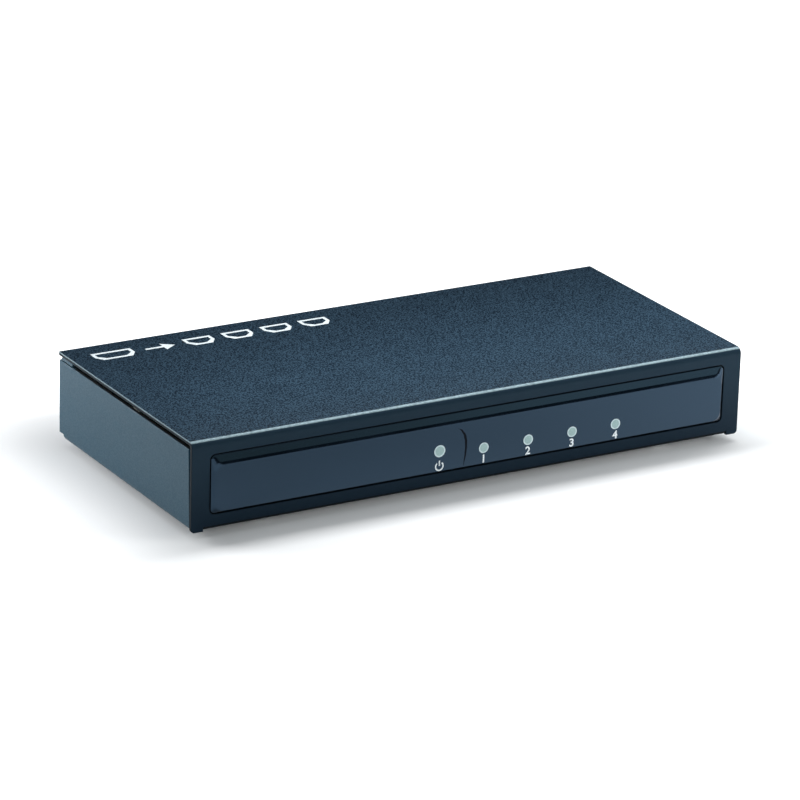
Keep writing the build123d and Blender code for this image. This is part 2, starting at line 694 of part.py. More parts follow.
def make_jack():
    """Moulded body with a round mouth, centre pin, side spring and legs."""
    half = JACK_WIDTH / 2
    height = JACK_AXIS + half
    face = Pos(0, height / 2) * RectangleRounded(JACK_WIDTH, height, JACK_CORNER)
    body = along_y(face, -JACK_FACE_DEPTH, 0)
    slim = half - JACK_SHOULDER
    arch = Pos(0, JACK_AXIS / 2) * Rectangle(2 * slim, JACK_AXIS)
    arch += Pos(0, JACK_AXIS) * Circle(slim)
    body += along_y(arch, -JACK_DEPTH, -JACK_FACE_DEPTH)
    axis = Pos(0, JACK_AXIS)
    body -= along_y(axis * Circle(JACK_BORE_RADIUS), -JACK_BORE_DEPTH, OVERRUN)
    rim = [edge for edge in body.edges() if abs(edge.center().Y) < FIT_GAP]
    rim = [edge for edge in rim if edge.geom_type == GeomType.CIRCLE]
    rim = [edge for edge in rim if edge.radius > JACK_CORNER]
    body = chamfer(rim, JACK_BORE_CHAMFER)
    pin_hole = Circle(PIN_ROOT_RADIUS + FIT_GAP)
    body -= along_y(axis * pin_hole, -JACK_DEPTH - OVERRUN, -JACK_BORE_DEPTH + OVERRUN)

    # The spring lies in a channel under the bore and bumps up into it.
    floor = JACK_AXIS - JACK_BORE_RADIUS - SPRING_SEAT
    channel_half = SPRING_WIDTH / 2 + FIT_GAP
    drop = SPRING_DROP + SPRING_THICK + FIT_GAP
    channel = (-channel_half, channel_half)
    body -= block(channel, (-drop, -SPRING_FRONT + FIT_GAP), (floor - FIT_GAP, JACK_AXIS))
    body -= block(channel, (-drop, -SPRING_DROP + FIT_GAP), (-OVERRUN, floor))
    spring_path = [
        (-SPRING_DROP, -TAB_TAIL),
        (-SPRING_DROP, floor),
        (-SPRING_CREST, floor + SPRING_BUMP),
        (-SPRING_FRONT, floor),
    ]
    spring_face = strip_outline(spring_path, SPRING_THICK)
    spring = along_x(spring_face, -SPRING_WIDTH / 2, SPRING_WIDTH / 2)

    rivet_y = JACK_DEPTH + TAB_THICK
    pin = along_y(axis * Circle(PIN_RADIUS), -JACK_BORE_DEPTH, -PIN_RECESS)
    pin = chamfer(pin.edges().group_by(Axis.Y)[-1], PIN_BEVEL)
    pin += along_y(axis * Circle(PIN_ROOT_RADIUS), -rivet_y, -JACK_BORE_DEPTH)
    pin += along_y(axis * Circle(PIN_RIVET_RADIUS), -rivet_y - PIN_RIVET_THICK, -rivet_y)

    tab_deep = (-rivet_y, -JACK_DEPTH)
    rear_tab = block((-TAB_WIDTH / 2, TAB_WIDTH / 2), tab_deep, (-TAB_TAIL, TAB_THICK))
    rear_tab += block(
        (-PIN_TAB_WIDTH / 2, PIN_TAB_WIDTH / 2),
        tab_deep,
        (TAB_THICK, JACK_AXIS + PIN_TAB_WIDTH / 2),
    )
    rear_tab -= along_y(axis * pin_hole, -rivet_y - OVERRUN, -JACK_DEPTH + OVERRUN)
    side_tab = block(
        (-slim - TAB_THICK, -slim),
        (-SIDE_TAB_BACK - TAB_WIDTH / 2, -SIDE_TAB_BACK + TAB_WIDTH / 2),
        (-TAB_TAIL, JACK_AXIS),
    )
    place = Pos(JACK_X, CONNECTOR_Y, BOARD_TOP_Z)
    return {
        "dc_jack_body": place * body,
        "dc_jack_pin": place * pin,
        "dc_jack_spring": place * spring,
        "dc_jack_terminals": group([place * rear_tab, place * side_tab]),
    }


# The video sockets, drawn about the mouth's middle with the board's top at Z = 0

def make_socket_shell():
    """Formed steel shell: keyed tube, flared lips, latch springs, roof and locks."""
    mouth = mouth_outline(0)
    shell = along_y(mouth_outline(SHELL_THICK) - mouth, -SHELL_DEPTH, 0)

    # Four separate lips are turned out round the mouth.
    side = MOUTH_WIDTH / 2
    foot = MOUTH_FOOT_WIDTH / 2 - LIP_INSET
    lip = (-SHELL_THICK, 0)
    reach = SHELL_THICK + LIP_PROUD
    shell += block((-side + LIP_INSET, side - LIP_INSET), lip, (SHELL_CEILING, SHELL_CEILING + reach))
    shell += block((-foot, foot), lip, (SHELL_FLOOR - reach, SHELL_FLOOR))
    tall = (SHELL_FLOOR + MOUTH_SHOULDER + LIP_PROUD, SHELL_CEILING - LIP_PROUD)
    shell += block((side, side + reach), lip, tall)
    shell += block((-side - reach, -side), lip, tall)

    # Latch springs are cut free in the ceiling and dip inwards.
    slot = LATCH_WIDTH / 2 + LATCH_SLIT
    path = [
        (-LATCH_ROOT - LATCH_OVERLAP, 0),
        (-LATCH_ROOT, 0),
        (-LATCH_CREST, -LATCH_DIP),
        (-LATCH_TIP, -LATCH_TIP_DIP),
    ]
    finger = along_x(strip_outline(path, SHELL_THICK), -LATCH_WIDTH / 2, LATCH_WIDTH / 2)
    window = block(
        (-slot, slot), (-LATCH_ROOT, -LATCH_TIP + 2 * LATCH_SLIT), (-OVERRUN, OVERRUN)
    )
    for x in (-LATCH_PLACE, LATCH_PLACE):
        place = Pos(x, 0, SHELL_CEILING)
        shell -= place * window
        shell += place * finger

    # The roof runs on behind the tube, over the insulator's back.
    shell += block(
        (-ROOF_WIDTH / 2, ROOF_WIDTH / 2),
        (-INSULATOR_BACK, -SHELL_DEPTH),
        (SHELL_CEILING, SHELL_TOP),
    )
    lock_top = SHELL_FLOOR + MOUTH_SHOULDER + LOCK_ROOT
    for x, y in lock_places():
        shell += block(
            (x - SHELL_THICK / 2, x + SHELL_THICK / 2),
            (y - LOCK_WIDTH / 2, y + LOCK_WIDTH / 2),
            (-LOCK_TAIL, lock_top),
        )
    return shell


def make_socket_contacts():
    """Ten contacts on the tongue and nine under it, all sloping down to the board."""
    level = SHELL_FLOOR + TONGUE_LEVEL
    upper_z = level + TONGUE_THICK / 2
    lower_z = level - TONGUE_THICK / 2 - CONTACT_THICK
    contacts = []
    for count, z in ((UPPER_CONTACTS, upper_z), (UPPER_CONTACTS - 1, lower_z)):
        path = [
            (-INSULATOR_BACK - CONTACT_TAIL, 0),
            (-INSULATOR_BACK, z),
            (-CONTACT_FRONT, z),
        ]
        outline = strip_outline(path, CONTACT_THICK)
        for place in range(count):
            x = (place - (count - 1) / 2) * CONTACT_PITCH
            contacts.append(along_x(outline, x - CONTACT_WIDTH / 2, x + CONTACT_WIDTH / 2))
    return contacts


def make_socket_insulator():
    """Moulded block that closes the shell's back and carries the contact tongue.

    Each row of contacts passes through the block in a slot of its own.
    """
    level = SHELL_FLOOR + TONGUE_LEVEL
    half = TONGUE_THICK / 2
    insulator = along_y(mouth_outline(-FIT_GAP), -SHELL_DEPTH, -CAVITY_DEPTH)
    tongue = Pos(0, level) * Rectangle(TONGUE_WIDTH, TONGUE_THICK)
    insulator += along_y(tongue, -CAVITY_DEPTH, -TONGUE_RECESS)
    insulator += block(
        (-ROOF_WIDTH / 2, ROOF_WIDTH / 2),
        (-INSULATOR_BACK, -SHELL_DEPTH),
        (0, SHELL_CEILING - FIT_GAP),
    )
    row = UPPER_CONTACTS * CONTACT_PITCH / 2
    deep = (-INSULATOR_BACK - OVERRUN, -CAVITY_DEPTH + OVERRUN)
    slot_height = CONTACT_THICK + FIT_GAP
    insulator -= block((-row, row), deep, (level + half, level + half + slot_height))
    insulator -= block((-row, row), deep, (level - half - slot_height, level - half))
    return insulator


def make_sockets():
    """One input and four outputs, each a shell, an insulator and its contacts."""
    shell = make_socket_shell()
    contacts = make_socket_contacts()
    insulator = make_socket_insulator()
    bundle = group(contacts)
    nodes = {}
    names = ["input_socket"] + [f"output_socket_{place + 1}" for place in range(OUTPUT_COUNT)]
    for name, x in zip(names, SOCKET_X):
        place = Pos(x, CONNECTOR_Y, BOARD_TOP_Z)
        nodes[f"{name}_shell"] = place * shell
        nodes[f"{name}_insulator"] = place * insulator
        nodes[f"{name}_contacts"] = group([place * bundle])
    return nodes


# Chips, drawn about their middle with the board's top at Z = 0

def chip_body(length, width, height, stand=CHIP_STAND):
    """Moulded package with a bevelled upper edge."""
    body = along_z(Rectangle(length, width), stand, stand + height)
    return chamfer(body.edges().group_by(Axis.Z)[-1], CHIP_CHAMFER)


def chip_leads(half, height, count, pitch, turns):
    """Gull-wing leads on the sides that the turns name, half from the middle."""
    root = CHIP_STAND + height / 2
    path = [(half, root), (half + CHIP_LEAD_SLOPE, 0), (half + CHIP_LEAD_REACH, 0)]
    outline = strip_outline(path, CHIP_LEAD_THICK)
    leads = []
    for turn in turns:
        for place in range(count):
            x = (place - (count - 1) / 2) * pitch
            lead = along_x(outline, x - CHIP_LEAD_WIDTH / 2, x + CHIP_LEAD_WIDTH / 2)
            leads.append(Rot(0, 0, turn) * lead)
    return leads


def make_heat_sink():
    """Extruded cooler with upright fins that run front to back."""
    outline = Pos(0, SINK_BASE / 2) * Rectangle(SINK_SIZE, SINK_BASE)
    step = (SINK_SIZE - SINK_FIN_THICK) / (SINK_FINS - 1)
    fin = Pos(0, SINK_HEIGHT / 2) * Rectangle(SINK_FIN_THICK, SINK_HEIGHT)
    for place in range(SINK_FINS):
        outline += Pos(place * step - (SINK_SIZE - SINK_FIN_THICK) / 2, 0) * fin
    return along_y(outline, -SINK_SIZE / 2, SINK_SIZE / 2)


def make_chips():
    """The splitter chip with its cooler, the controller and the smaller packages."""
    quad = (0, 90, 180, 270)
    pair = (0, 180)
    middle = on_board(SPLITTER_SHARES)
    pad_z = SPLITTER_HEIGHT
    pad = Rectangle(SPLITTER_SIZE - 2 * CHIP_CHAMFER, SPLITTER_SIZE - 2 * CHIP_CHAMFER)
    controller_leads = chip_leads(
        CONTROLLER_SIZE / 2, CONTROLLER_HEIGHT, CONTROLLER_LEADS, CONTROLLER_PITCH, quad
    )
    small_leads = chip_leads(
        SMALL_CHIP_WIDTH / 2, SMALL_CHIP_HEIGHT, SMALL_CHIP_LEADS, SMALL_CHIP_PITCH, pair
    )
    small = chip_body(SMALL_CHIP_LENGTH, SMALL_CHIP_WIDTH, SMALL_CHIP_HEIGHT)
    regulator = chip_body(REGULATOR_LENGTH, REGULATOR_WIDTH, REGULATOR_HEIGHT)
    tab_low = REGULATOR_WIDTH / 2
    tab = block(
        (-REGULATOR_TAB_WIDTH / 2, REGULATOR_TAB_WIDTH / 2),
        (tab_low, tab_low + REGULATOR_TAB_REACH),
        (0, REGULATOR_TAB_THICK + CHIP_STAND),
    )
    regulator_legs = chip_leads(
        REGULATOR_WIDTH / 2, REGULATOR_HEIGHT, SMALL_CHIP_LEADS - 1, 2 * SMALL_CHIP_PITCH, (180,)
    )
    controller = on_board(CONTROLLER_SHARES)
    regulator_place = on_board(REGULATOR_SHARES)
    small_places = [on_board(MEMORY_SHARES), on_board(CONVERTER_SHARES)]
    all_small_leads = [place * lead for place in small_places for lead in small_leads]
    all_small_leads += [regulator_place * lead for lead in [tab, *regulator_legs]]
    return {
        "splitter_chip": middle * chip_body(SPLITTER_SIZE, SPLITTER_SIZE, SPLITTER_HEIGHT, 0),
        "thermal_pad": middle * along_z(pad, pad_z, pad_z + PAD_THICK),
        "heat_sink": middle * (Pos(0, 0, pad_z + PAD_THICK) * make_heat_sink()),
        "controller_chip": controller * chip_body(CONTROLLER_SIZE, CONTROLLER_SIZE, CONTROLLER_HEIGHT),
        "controller_chip_leads": group(controller * lead for lead in controller_leads),
        "memory_chip": small_places[0] * small,
        "converter_chip": small_places[1] * small,
        "voltage_regulator": regulator_place * regulator,
        "small_chip_leads": group(all_small_leads),
    }


# Other components

def make_power_parts():
    """Moulded inductor, electrolytic capacitors, crystal and fuse."""
    coil = chip_body(COIL_SIZE, COIL_SIZE, COIL_HEIGHT, 0)
    terminals = []
    for side in (-1, 1):
        reach = side * (COIL_SIZE / 2 + COIL_TERMINAL_REACH)
        terminal = block(
            sorted((side * COIL_SIZE / 2, reach)),
            (-COIL_TERMINAL_WIDTH / 2, COIL_TERMINAL_WIDTH / 2),
            (0, COIL_TERMINAL_THICK),
        )
        terminals.append(on_board(COIL_SHARES) * terminal)

    can = along_z(Circle(CAN_RADIUS), CAN_BASE_HEIGHT, CAN_BASE_HEIGHT + CAN_HEIGHT)
    can = chamfer(can.edges().group_by(Axis.Z)[-1], CAN_BEVEL)
    foot = along_z(Rectangle(CAN_BASE, CAN_BASE), 0, CAN_BASE_HEIGHT)
    foot = chamfer(foot.edges().filter_by(Axis.Z).sort_by(Axis.X)[-2:], CAN_BASE_CORNER)
    can_places = [on_board(shares) for shares in CAN_SHARES]

    crystal = chip_body(CRYSTAL_LENGTH, CRYSTAL_WIDTH, CRYSTAL_HEIGHT, 0)
    fuse = along_z(Rectangle(FUSE_LENGTH, FUSE_WIDTH), 0, FUSE_HEIGHT)
    return {
        "power_inductor": on_board(COIL_SHARES) * coil,
        "inductor_terminals": group(terminals),
        "capacitor_cans": group(place * can for place in can_places),
        "capacitor_bases": group(place * foot for place in can_places),
        "crystal_can": on_board(CRYSTAL_SHARES) * crystal,
        "input_fuse": on_board(FUSE_SHARES) * fuse,
    }


def make_small_parts():
    """Small capacitors and resistors in rows, and a protector pair behind each socket."""
    capacitor = along_z(Rectangle(CHIP_PART_WIDTH, CHIP_PART_LENGTH), 0, CAPACITOR_HEIGHT)
    resistor = along_z(Rectangle(CHIP_PART_WIDTH, CHIP_PART_LENGTH), 0, RESISTOR_HEIGHT)
    protector = along_z(Rectangle(PROTECTOR_LENGTH, PROTECTOR_WIDTH), 0, PROTECTOR_HEIGHT)
    capacitors = []
    resistors = []
    protectors = []
    row = on_board((SPLITTER_SHARES[0], SPLITTER_CAPACITOR_ROW_SHARE))
    chip_edge_y = on_board(SPLITTER_SHARES).position.Y + SPLITTER_SIZE / 2
    termination_y = chip_edge_y + TERMINATION_ROW_GAP + CHIP_PART_LENGTH / 2
    for place in range(CAPACITOR_ROW_COUNT):
        x = (place - (CAPACITOR_ROW_COUNT - 1) / 2) * CAPACITOR_ROW_PITCH
        capacitors.append(row * Pos(x, 0, 0) * capacitor)
    for socket_x in SOCKET_X[1:]:
        for place in range(TERMINATION_COUNT):
            x = socket_x + (place - (TERMINATION_COUNT - 1) / 2) * TERMINATION_PITCH
            resistors.append(Pos(x, termination_y, BOARD_TOP_Z) * resistor)
    for x, z in [POWER_LAMP, *OUTPUT_LAMPS]:
        y = LEAD_DROP_Y + LEAD_SIZE + CHIP_PART_LENGTH + LEAD_HOLE
        resistors.append(Pos(x, y, BOARD_TOP_Z) * resistor)
    for socket_x in SOCKET_X:
        for side in (-1, 1):
            place = Pos(socket_x + side * PROTECTOR_SPREAD, CONNECTOR_Y - PROTECTOR_BACK, BOARD_TOP_Z)
            protectors.append(place * protector)
    return {
        "ceramic_capacitors": group(capacitors),
        "resistors": group(resistors),
        "line_protectors": group(protectors),
    }


nodes = {
    "top_cover": make_top_cover(),
    "base_tray": make_base_tray(),
    "rubber_feet": make_rubber_feet(),
    "main_board": make_main_board(),
}
nodes.update(make_label())
nodes.update(make_fasteners())
nodes.update(make_lamps())
nodes.update(make_jack())
nodes.update(make_sockets())
nodes.update(make_chips())
nodes.update(make_power_parts())
nodes.update(make_small_parts())

for name, shape in nodes.items():
    export_step(shape, f"parts/{name}.step")
    print(name, len(shape.solids()))
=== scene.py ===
import math

import bmesh
import bpy
from mathutils import Matrix, Vector


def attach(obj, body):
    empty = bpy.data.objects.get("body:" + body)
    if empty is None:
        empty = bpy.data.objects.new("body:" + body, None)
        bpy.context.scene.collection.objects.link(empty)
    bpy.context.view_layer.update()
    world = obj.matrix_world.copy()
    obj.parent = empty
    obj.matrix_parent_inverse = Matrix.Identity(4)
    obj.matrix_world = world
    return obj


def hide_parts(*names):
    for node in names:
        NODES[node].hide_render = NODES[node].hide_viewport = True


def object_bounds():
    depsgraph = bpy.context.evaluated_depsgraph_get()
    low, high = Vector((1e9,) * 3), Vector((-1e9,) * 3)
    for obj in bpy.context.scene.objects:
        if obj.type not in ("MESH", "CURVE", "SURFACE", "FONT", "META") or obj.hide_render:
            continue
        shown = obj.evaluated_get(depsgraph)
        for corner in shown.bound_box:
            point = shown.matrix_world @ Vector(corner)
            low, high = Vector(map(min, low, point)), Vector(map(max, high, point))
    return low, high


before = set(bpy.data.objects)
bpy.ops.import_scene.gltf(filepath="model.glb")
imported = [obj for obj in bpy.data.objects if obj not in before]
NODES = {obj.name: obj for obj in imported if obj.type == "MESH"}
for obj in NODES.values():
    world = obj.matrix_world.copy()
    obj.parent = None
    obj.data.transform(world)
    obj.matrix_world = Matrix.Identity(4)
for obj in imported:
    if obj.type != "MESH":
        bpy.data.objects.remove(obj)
cad_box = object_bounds()
MM = 0.001

# The camera. A long lens looks at the box from its front left, a little above it,
# with a small roll, so the long front runs up to the right as in the photograph.
CAMERA_TURN = math.radians(-30.566)
CAMERA_RISE = math.radians(20.221)
CAMERA_ROLL = math.radians(1.706)
CAMERA_PLACE = Vector((-588.5, -995.4, 438.4)) * MM
SENSOR = 36.0
LENS = 202.5
FAR_CLIP = 20

back = Vector(
    (
        math.sin(CAMERA_TURN) * math.cos(CAMERA_RISE),
        -math.cos(CAMERA_TURN) * math.cos(CAMERA_RISE),
        math.sin(CAMERA_RISE),
    )
)
level = Vector((0, 0, 1)).cross(back).normalized()
upright = back.cross(level)
right = level * math.cos(CAMERA_ROLL) + upright * math.sin(CAMERA_ROLL)
up = upright * math.cos(CAMERA_ROLL) - level * math.sin(CAMERA_ROLL)
lens = bpy.data.cameras.new("camera")
lens.sensor_width = SENSOR
lens.lens = LENS
lens.clip_end = FAR_CLIP
camera = bpy.data.objects.new("camera", lens)
axes = Matrix((right, up, back)).transposed().to_4x4()
camera.matrix_world = Matrix.Translation(CAMERA_PLACE) @ axes
bpy.context.scene.collection.objects.link(camera)
bpy.context.scene.camera = camera
bpy.context.scene.view_settings.view_transform = "Standard"

# The studio. A pale table under the box that runs out to white, a low white horizon with
# a dim room above it in reflections, a long thin lamp over the box's front edge, and soft
# lamps around it.
FLOOR_SIZE = 12.0
FLOOR_COLOUR = (0.78, 0.79, 0.8)
FLOOR_ROUGHNESS = 0.9
BACKDROP_GLOW = ((0.0, 0.05), (0.06, 0.8), (1.0, 0.97))  # distance from the box, and strength
TABLE_GLOW = ((0.09, 0.05), (0.2, 0.62), (1.6, 0.97))  # the same from its middle, in reflections
TABLE_MIDDLE = (-0.04, 0.01, 0.0)
HORIZON_COLOUR = (1.0, 1.0, 1.0)
GAP_COLOUR = (0.02, 0.02, 0.025)
REAR_ROOM_COLOUR = (0.03, 0.04, 0.05)
FRONT_ROOM_COLOUR = (0.12, 0.14, 0.16)
BELT_LEFT_COLOUR = (0.3, 0.34, 0.3)
BELT_RIGHT_COLOUR = (0.75, 0.85, 0.8)
BELT_TURN = (0.43, 0.55)  # share to the right at which the belt changes colour
ROOM_TURN = (-0.3, 0.3)  # share to the rear at which the front room ends
HORIZON_TOP = -0.01  # sines of the angles at which the white, the dark gap and the lit belt end
GAP_BOTTOM = 0.0
GAP_TOP = 0.075
BELT_BOTTOM = 0.095
BELT_FADE = (0.35, 0.6)
LAMPS = {  # where each stands, what it is turned to, its two sides and its power
    "edge_lamp": ((0.11, -0.015, 0.085), (0.11, -0.015, 0.0), (0.4, 0.02), 0.24),
    "top_lamp": ((0.1, 0.0, 1.2), (0, 0, 0), (0.9, 0.9), 3.0),
    "right_lamp": ((0.45, -0.35, 0.14), (0.05, 0, 0.01), (0.25, 0.2), 2.0),
    "left_lamp": ((-0.25, 0.2, 0.1), (-0.085, 0.03, 0.01), (0.2, 0.1), 0.8),
    "rear_lamp": ((-0.4, 0.6, 0.75), (0, 0, 0), (0.5, 0.4), 1.45),
}
HIDDEN_LAMPS = ("right_lamp",)  # not seen in reflections


def start_material(name, colour, roughness, metallic=0.0):
    """New material with its shader's plain values, ready for more nodes."""
    material = bpy.data.materials.new(name)
    material.use_nodes = True
    shader = material.node_tree.nodes["Principled BSDF"]
    shader.inputs["Base Color"].default_value = (*colour, 1)
    shader.inputs["Roughness"].default_value = roughness
    shader.inputs["Metallic"].default_value = metallic
    return material, material.node_tree, shader


def add_node(tree, kind, inputs=None, **settings):
    """New node: settings are its own properties, inputs its sockets' values or links."""
    node = tree.nodes.new(kind)
    for key, value in settings.items():
        setattr(node, key, value)
    for key, value in (inputs or {}).items():
        if isinstance(value, bpy.types.NodeSocket):
            tree.links.new(value, node.inputs[key])
        else:
            node.inputs[key].default_value = value
    return node


def add_math(tree, operation, first, second=0.0):
    """Result of one Math node."""
    return add_node(tree, "ShaderNodeMath", {0: first, 1: second}, operation=operation).outputs[0]


def add_range(tree, value, low, high, to_low=0.0, to_high=1.0):
    """Value mapped smoothly from one range to another, and held at its ends."""
    inputs = {"Value": value, "From Min": low, "From Max": high, "To Min": to_low, "To Max": to_high}
    return add_node(tree, "ShaderNodeMapRange", inputs, interpolation_type="SMOOTHSTEP").outputs[0]


def add_mix(tree, factor, first, second):
    """Colour between two colours."""
    node = add_node(tree, "ShaderNodeMix", data_type="RGBA")
    sockets = (node.inputs[0], node.inputs[6], node.inputs[7])  # its factor and its two colours
    for socket, value in zip(sockets, (factor, first, second)):
        if isinstance(value, bpy.types.NodeSocket):
            tree.links.new(value, socket)
        else:
            socket.default_value = (*value, 1)
    return node.outputs[2]


floor_mesh = bpy.data.meshes.new("floor")
half = FLOOR_SIZE / 2
corners = [(-half, -half, 0), (half, -half, 0), (half, half, 0), (-half, half, 0)]
floor_mesh.from_pydata(corners, [], [(0, 1, 2, 3)])
floor = bpy.data.objects.new("floor", floor_mesh)
bpy.context.scene.collection.objects.link(floor)
table_paint, tree, shader = start_material("table_paint", FLOOR_COLOUR, FLOOR_ROUGHNESS)
shader.inputs["Specular IOR Level"].default_value = 0.0
shader.inputs["Emission Color"].default_value = (1, 1, 1, 1)
rays = add_node(tree, "ShaderNodeLightPath").outputs
place = add_node(tree, "ShaderNodeTexCoord").outputs["Object"]


def glow_over(distance, steps):
    """Brightness that changes with a distance, from step to step."""
    glow = steps[0][1]
    for (start, low), (end, high) in zip(steps, steps[1:]):
        glow = add_math(tree, "ADD", add_range(tree, distance, start, end, 0.0, high - low), glow)
    return glow


def vector_math(tree, operation, *values):
    """Outputs of one Vector Math node."""
    inputs = dict(enumerate(values))
    return add_node(tree, "ShaderNodeVectorMath", inputs, operation=operation).outputs


box_half = Vector(cad_box[1]).to_2d().to_3d()
past_box = vector_math(tree, "SUBTRACT", vector_math(tree, "ABSOLUTE", place)[0], box_half)[0]
past_box = vector_math(tree, "MAXIMUM", past_box, (0, 0, 0))[0]
from_box = vector_math(tree, "LENGTH", past_box)["Value"]
from_middle = vector_math(tree, "DISTANCE", place, TABLE_MIDDLE)["Value"]
straight = add_math(tree, "MAXIMUM", rays["Is Camera Ray"], rays["Is Transmission Ray"])
backdrop = add_math(tree, "MULTIPLY", straight, glow_over(from_box, BACKDROP_GLOW))
mirrored = add_math(tree, "MULTIPLY", rays["Is Glossy Ray"], glow_over(from_middle, TABLE_GLOW))
tree.links.new(add_math(tree, "ADD", backdrop, mirrored), shader.inputs["Emission Strength"])
floor_mesh.materials.append(table_paint)

world = bpy.data.worlds.new("studio")
bpy.context.scene.world = world
world.use_nodes = True
tree = world.node_tree
direction = add_node(tree, "ShaderNodeTexCoord").outputs["Generated"]
parts = add_node(tree, "ShaderNodeSeparateXYZ", {"Vector": direction}).outputs
ahead = add_range(tree, parts["Y"], *ROOM_TURN, 1.0, 0.0)
belt = add_math(tree, "MULTIPLY", ahead, add_range(tree, parts["Z"], *BELT_FADE, 1.0, 0.0))
room = add_mix(tree, ahead, REAR_ROOM_COLOUR, FRONT_ROOM_COLOUR)
lit = add_mix(tree, add_range(tree, parts["X"], *BELT_TURN), BELT_LEFT_COLOUR, BELT_RIGHT_COLOUR)
room = add_mix(tree, belt, room, lit)
room = add_mix(tree, add_range(tree, parts["Z"], GAP_TOP, BELT_BOTTOM), GAP_COLOUR, room)
sky = add_mix(tree, add_range(tree, parts["Z"], HORIZON_TOP, GAP_BOTTOM), HORIZON_COLOUR, room)
rays = add_node(tree, "ShaderNodeLightPath").outputs
straight = add_math(tree, "MAXIMUM", rays["Is Camera Ray"], rays["Is Transmission Ray"])
sky = add_mix(tree, straight, sky, HORIZON_COLOUR)
tree.links.new(sky, tree.nodes["Background"].inputs["Color"])

for name, (place, aim, size, power) in LAMPS.items():
    light = bpy.data.lights.new(name, "AREA")
    light.shape = "RECTANGLE"
    light.size, light.size_y = size
    light.energy = power
    lamp = bpy.data.objects.new(name, light)
    lamp.location = place
    lamp.rotation_euler = (Vector(aim) - Vector(place)).to_track_quat("-Z", "Y").to_euler()
    lamp.visible_camera = False
    lamp.visible_glossy = name not in HIDDEN_LAMPS
    bpy.context.scene.collection.objects.link(lamp)

# The tray. The lower of two folded sheets of 1 mm steel: bottom, side walls and rear
# wall. It is sprayed with a satin blue-grey paint that is rubbed thin along its edges,
# and the side walls' upper edges are darkened with painted shade where the cover overhangs them.
PAINT_GRAIN = 0.35 * MM
EDGE_ROUND = 0.2 * MM
# The tray's blue-grey is lighter than the cover's, partly painted light for the brightly lit side walls.
TRAY_DARK = (0.019, 0.06, 0.092)
TRAY_LIGHT = (0.025, 0.073, 0.11)
TRAY_WORN = (0.22, 0.34, 0.4)
OVERHANG_SHADE_COLOUR = (0.001, 0.002, 0.004)
OVERHANG_SHADE_ROUGHNESS = 0.8
OVERHANG_SHADE_Z = 24.4 * MM  # the painted shade under the cover's overhang is above, between and before these
OVERHANG_SHADE_X = (84.4 * MM, 84.55 * MM)
OVERHANG_SHADE_REAR_Y = 31.0 * MM
MOTTLE_SHARE = 0.05  # the slow mottle's scale against the grain's
BEVEL_SAMPLES = 6
PATCH_SCALE = 240.0
PATCH_RANGE = (0.35, 0.7)
PATCH_LEAST = 0.25
BEND_RANGE = (0.02, 0.2)
GRAIN_HEIGHT = 0.05 * MM
FLOAT = "NodeSocketFloat"
VECTOR = "NodeSocketVector"


def new_group(name, inputs, outputs):
    """Empty shader node group with its named inputs and outputs."""
    tree = bpy.data.node_groups.new(name, "ShaderNodeTree")
    for socket, value in inputs.items():
        item = tree.interface.new_socket(socket, in_out="INPUT", socket_type=FLOAT)
        item.default_value = value
    for socket, kind in outputs.items():
        tree.interface.new_socket(socket, in_out="OUTPUT", socket_type=kind)
    return tree, tree.nodes.new("NodeGroupInput").outputs, tree.nodes.new("NodeGroupOutput").inputs


grain_group, given, results = new_group(
    "grain", {"Size": PAINT_GRAIN, "Mottle": 0.3, "Streak": 1.0, "Soft": 0.16},
    {"Speckle": FLOAT, "Height": FLOAT},
)
place = add_node(grain_group, "ShaderNodeTexCoord").outputs["Object"]
stretch = add_node(grain_group, "ShaderNodeCombineXYZ", {0: given["Streak"], 1: 1.0, 2: 1.0}).outputs[0]
drawn = vector_math(grain_group, "MULTIPLY", place, stretch)[0]
scale = add_math(grain_group, "DIVIDE", 1.0, given["Size"])
fine_inputs = {"Vector": drawn, "Scale": scale, "Detail": 2.0}
fine = add_node(grain_group, "ShaderNodeTexNoise", fine_inputs).outputs["Fac"]
slow_scale = add_math(grain_group, "MULTIPLY", scale, MOTTLE_SHARE)
slow_inputs = {"Vector": place, "Scale": slow_scale, "Detail": 2.0}
slow = add_node(grain_group, "ShaderNodeTexNoise", slow_inputs).outputs["Fac"]
low = add_math(grain_group, "SUBTRACT", 0.5, given["Soft"])
high = add_math(grain_group, "ADD", 0.5, given["Soft"])
speckle = add_range(grain_group, fine, low, high)
mottle = add_math(grain_group, "MULTIPLY", add_math(grain_group, "SUBTRACT", slow, 0.5), given["Mottle"])
grain_group.links.new(add_math(grain_group, "ADD", speckle, mottle), results["Speckle"])
grain_group.links.new(fine, results["Height"])

edge_group, given, results = new_group(
    "worn_edges", {"Round": EDGE_ROUND, "Wear": 0.5}, {"Mask": FLOAT, "Normal": VECTOR}
)
bevel = add_node(edge_group, "ShaderNodeBevel", {"Radius": given["Round"]}, samples=BEVEL_SAMPLES)
soft = bevel.outputs[0]
flat = add_node(edge_group, "ShaderNodeNewGeometry").outputs["Normal"]
facing = vector_math(edge_group, "DOT_PRODUCT", soft, flat)["Value"]
bend = add_math(edge_group, "SUBTRACT", 1.0, facing)
place = add_node(edge_group, "ShaderNodeTexCoord").outputs["Object"]
patch_inputs = {"Vector": place, "Scale": PATCH_SCALE, "Detail": 4.0}
patches = add_node(edge_group, "ShaderNodeTexNoise", patch_inputs).outputs["Fac"]
patchy = add_range(edge_group, patches, *PATCH_RANGE, PATCH_LEAST, 1.0)
mask = add_math(edge_group, "MULTIPLY", add_range(edge_group, bend, *BEND_RANGE), patchy)
edge_group.links.new(add_math(edge_group, "MULTIPLY", mask, given["Wear"]), results["Mask"])
edge_group.links.new(soft, results["Normal"])


def use_group(tree, group, **values):
    """A node group placed in a tree, with its own values."""
    node = add_node(tree, "ShaderNodeGroup", node_tree=group)
    for name, value in values.items():
        node.inputs[name].default_value = value
    return node.outputs


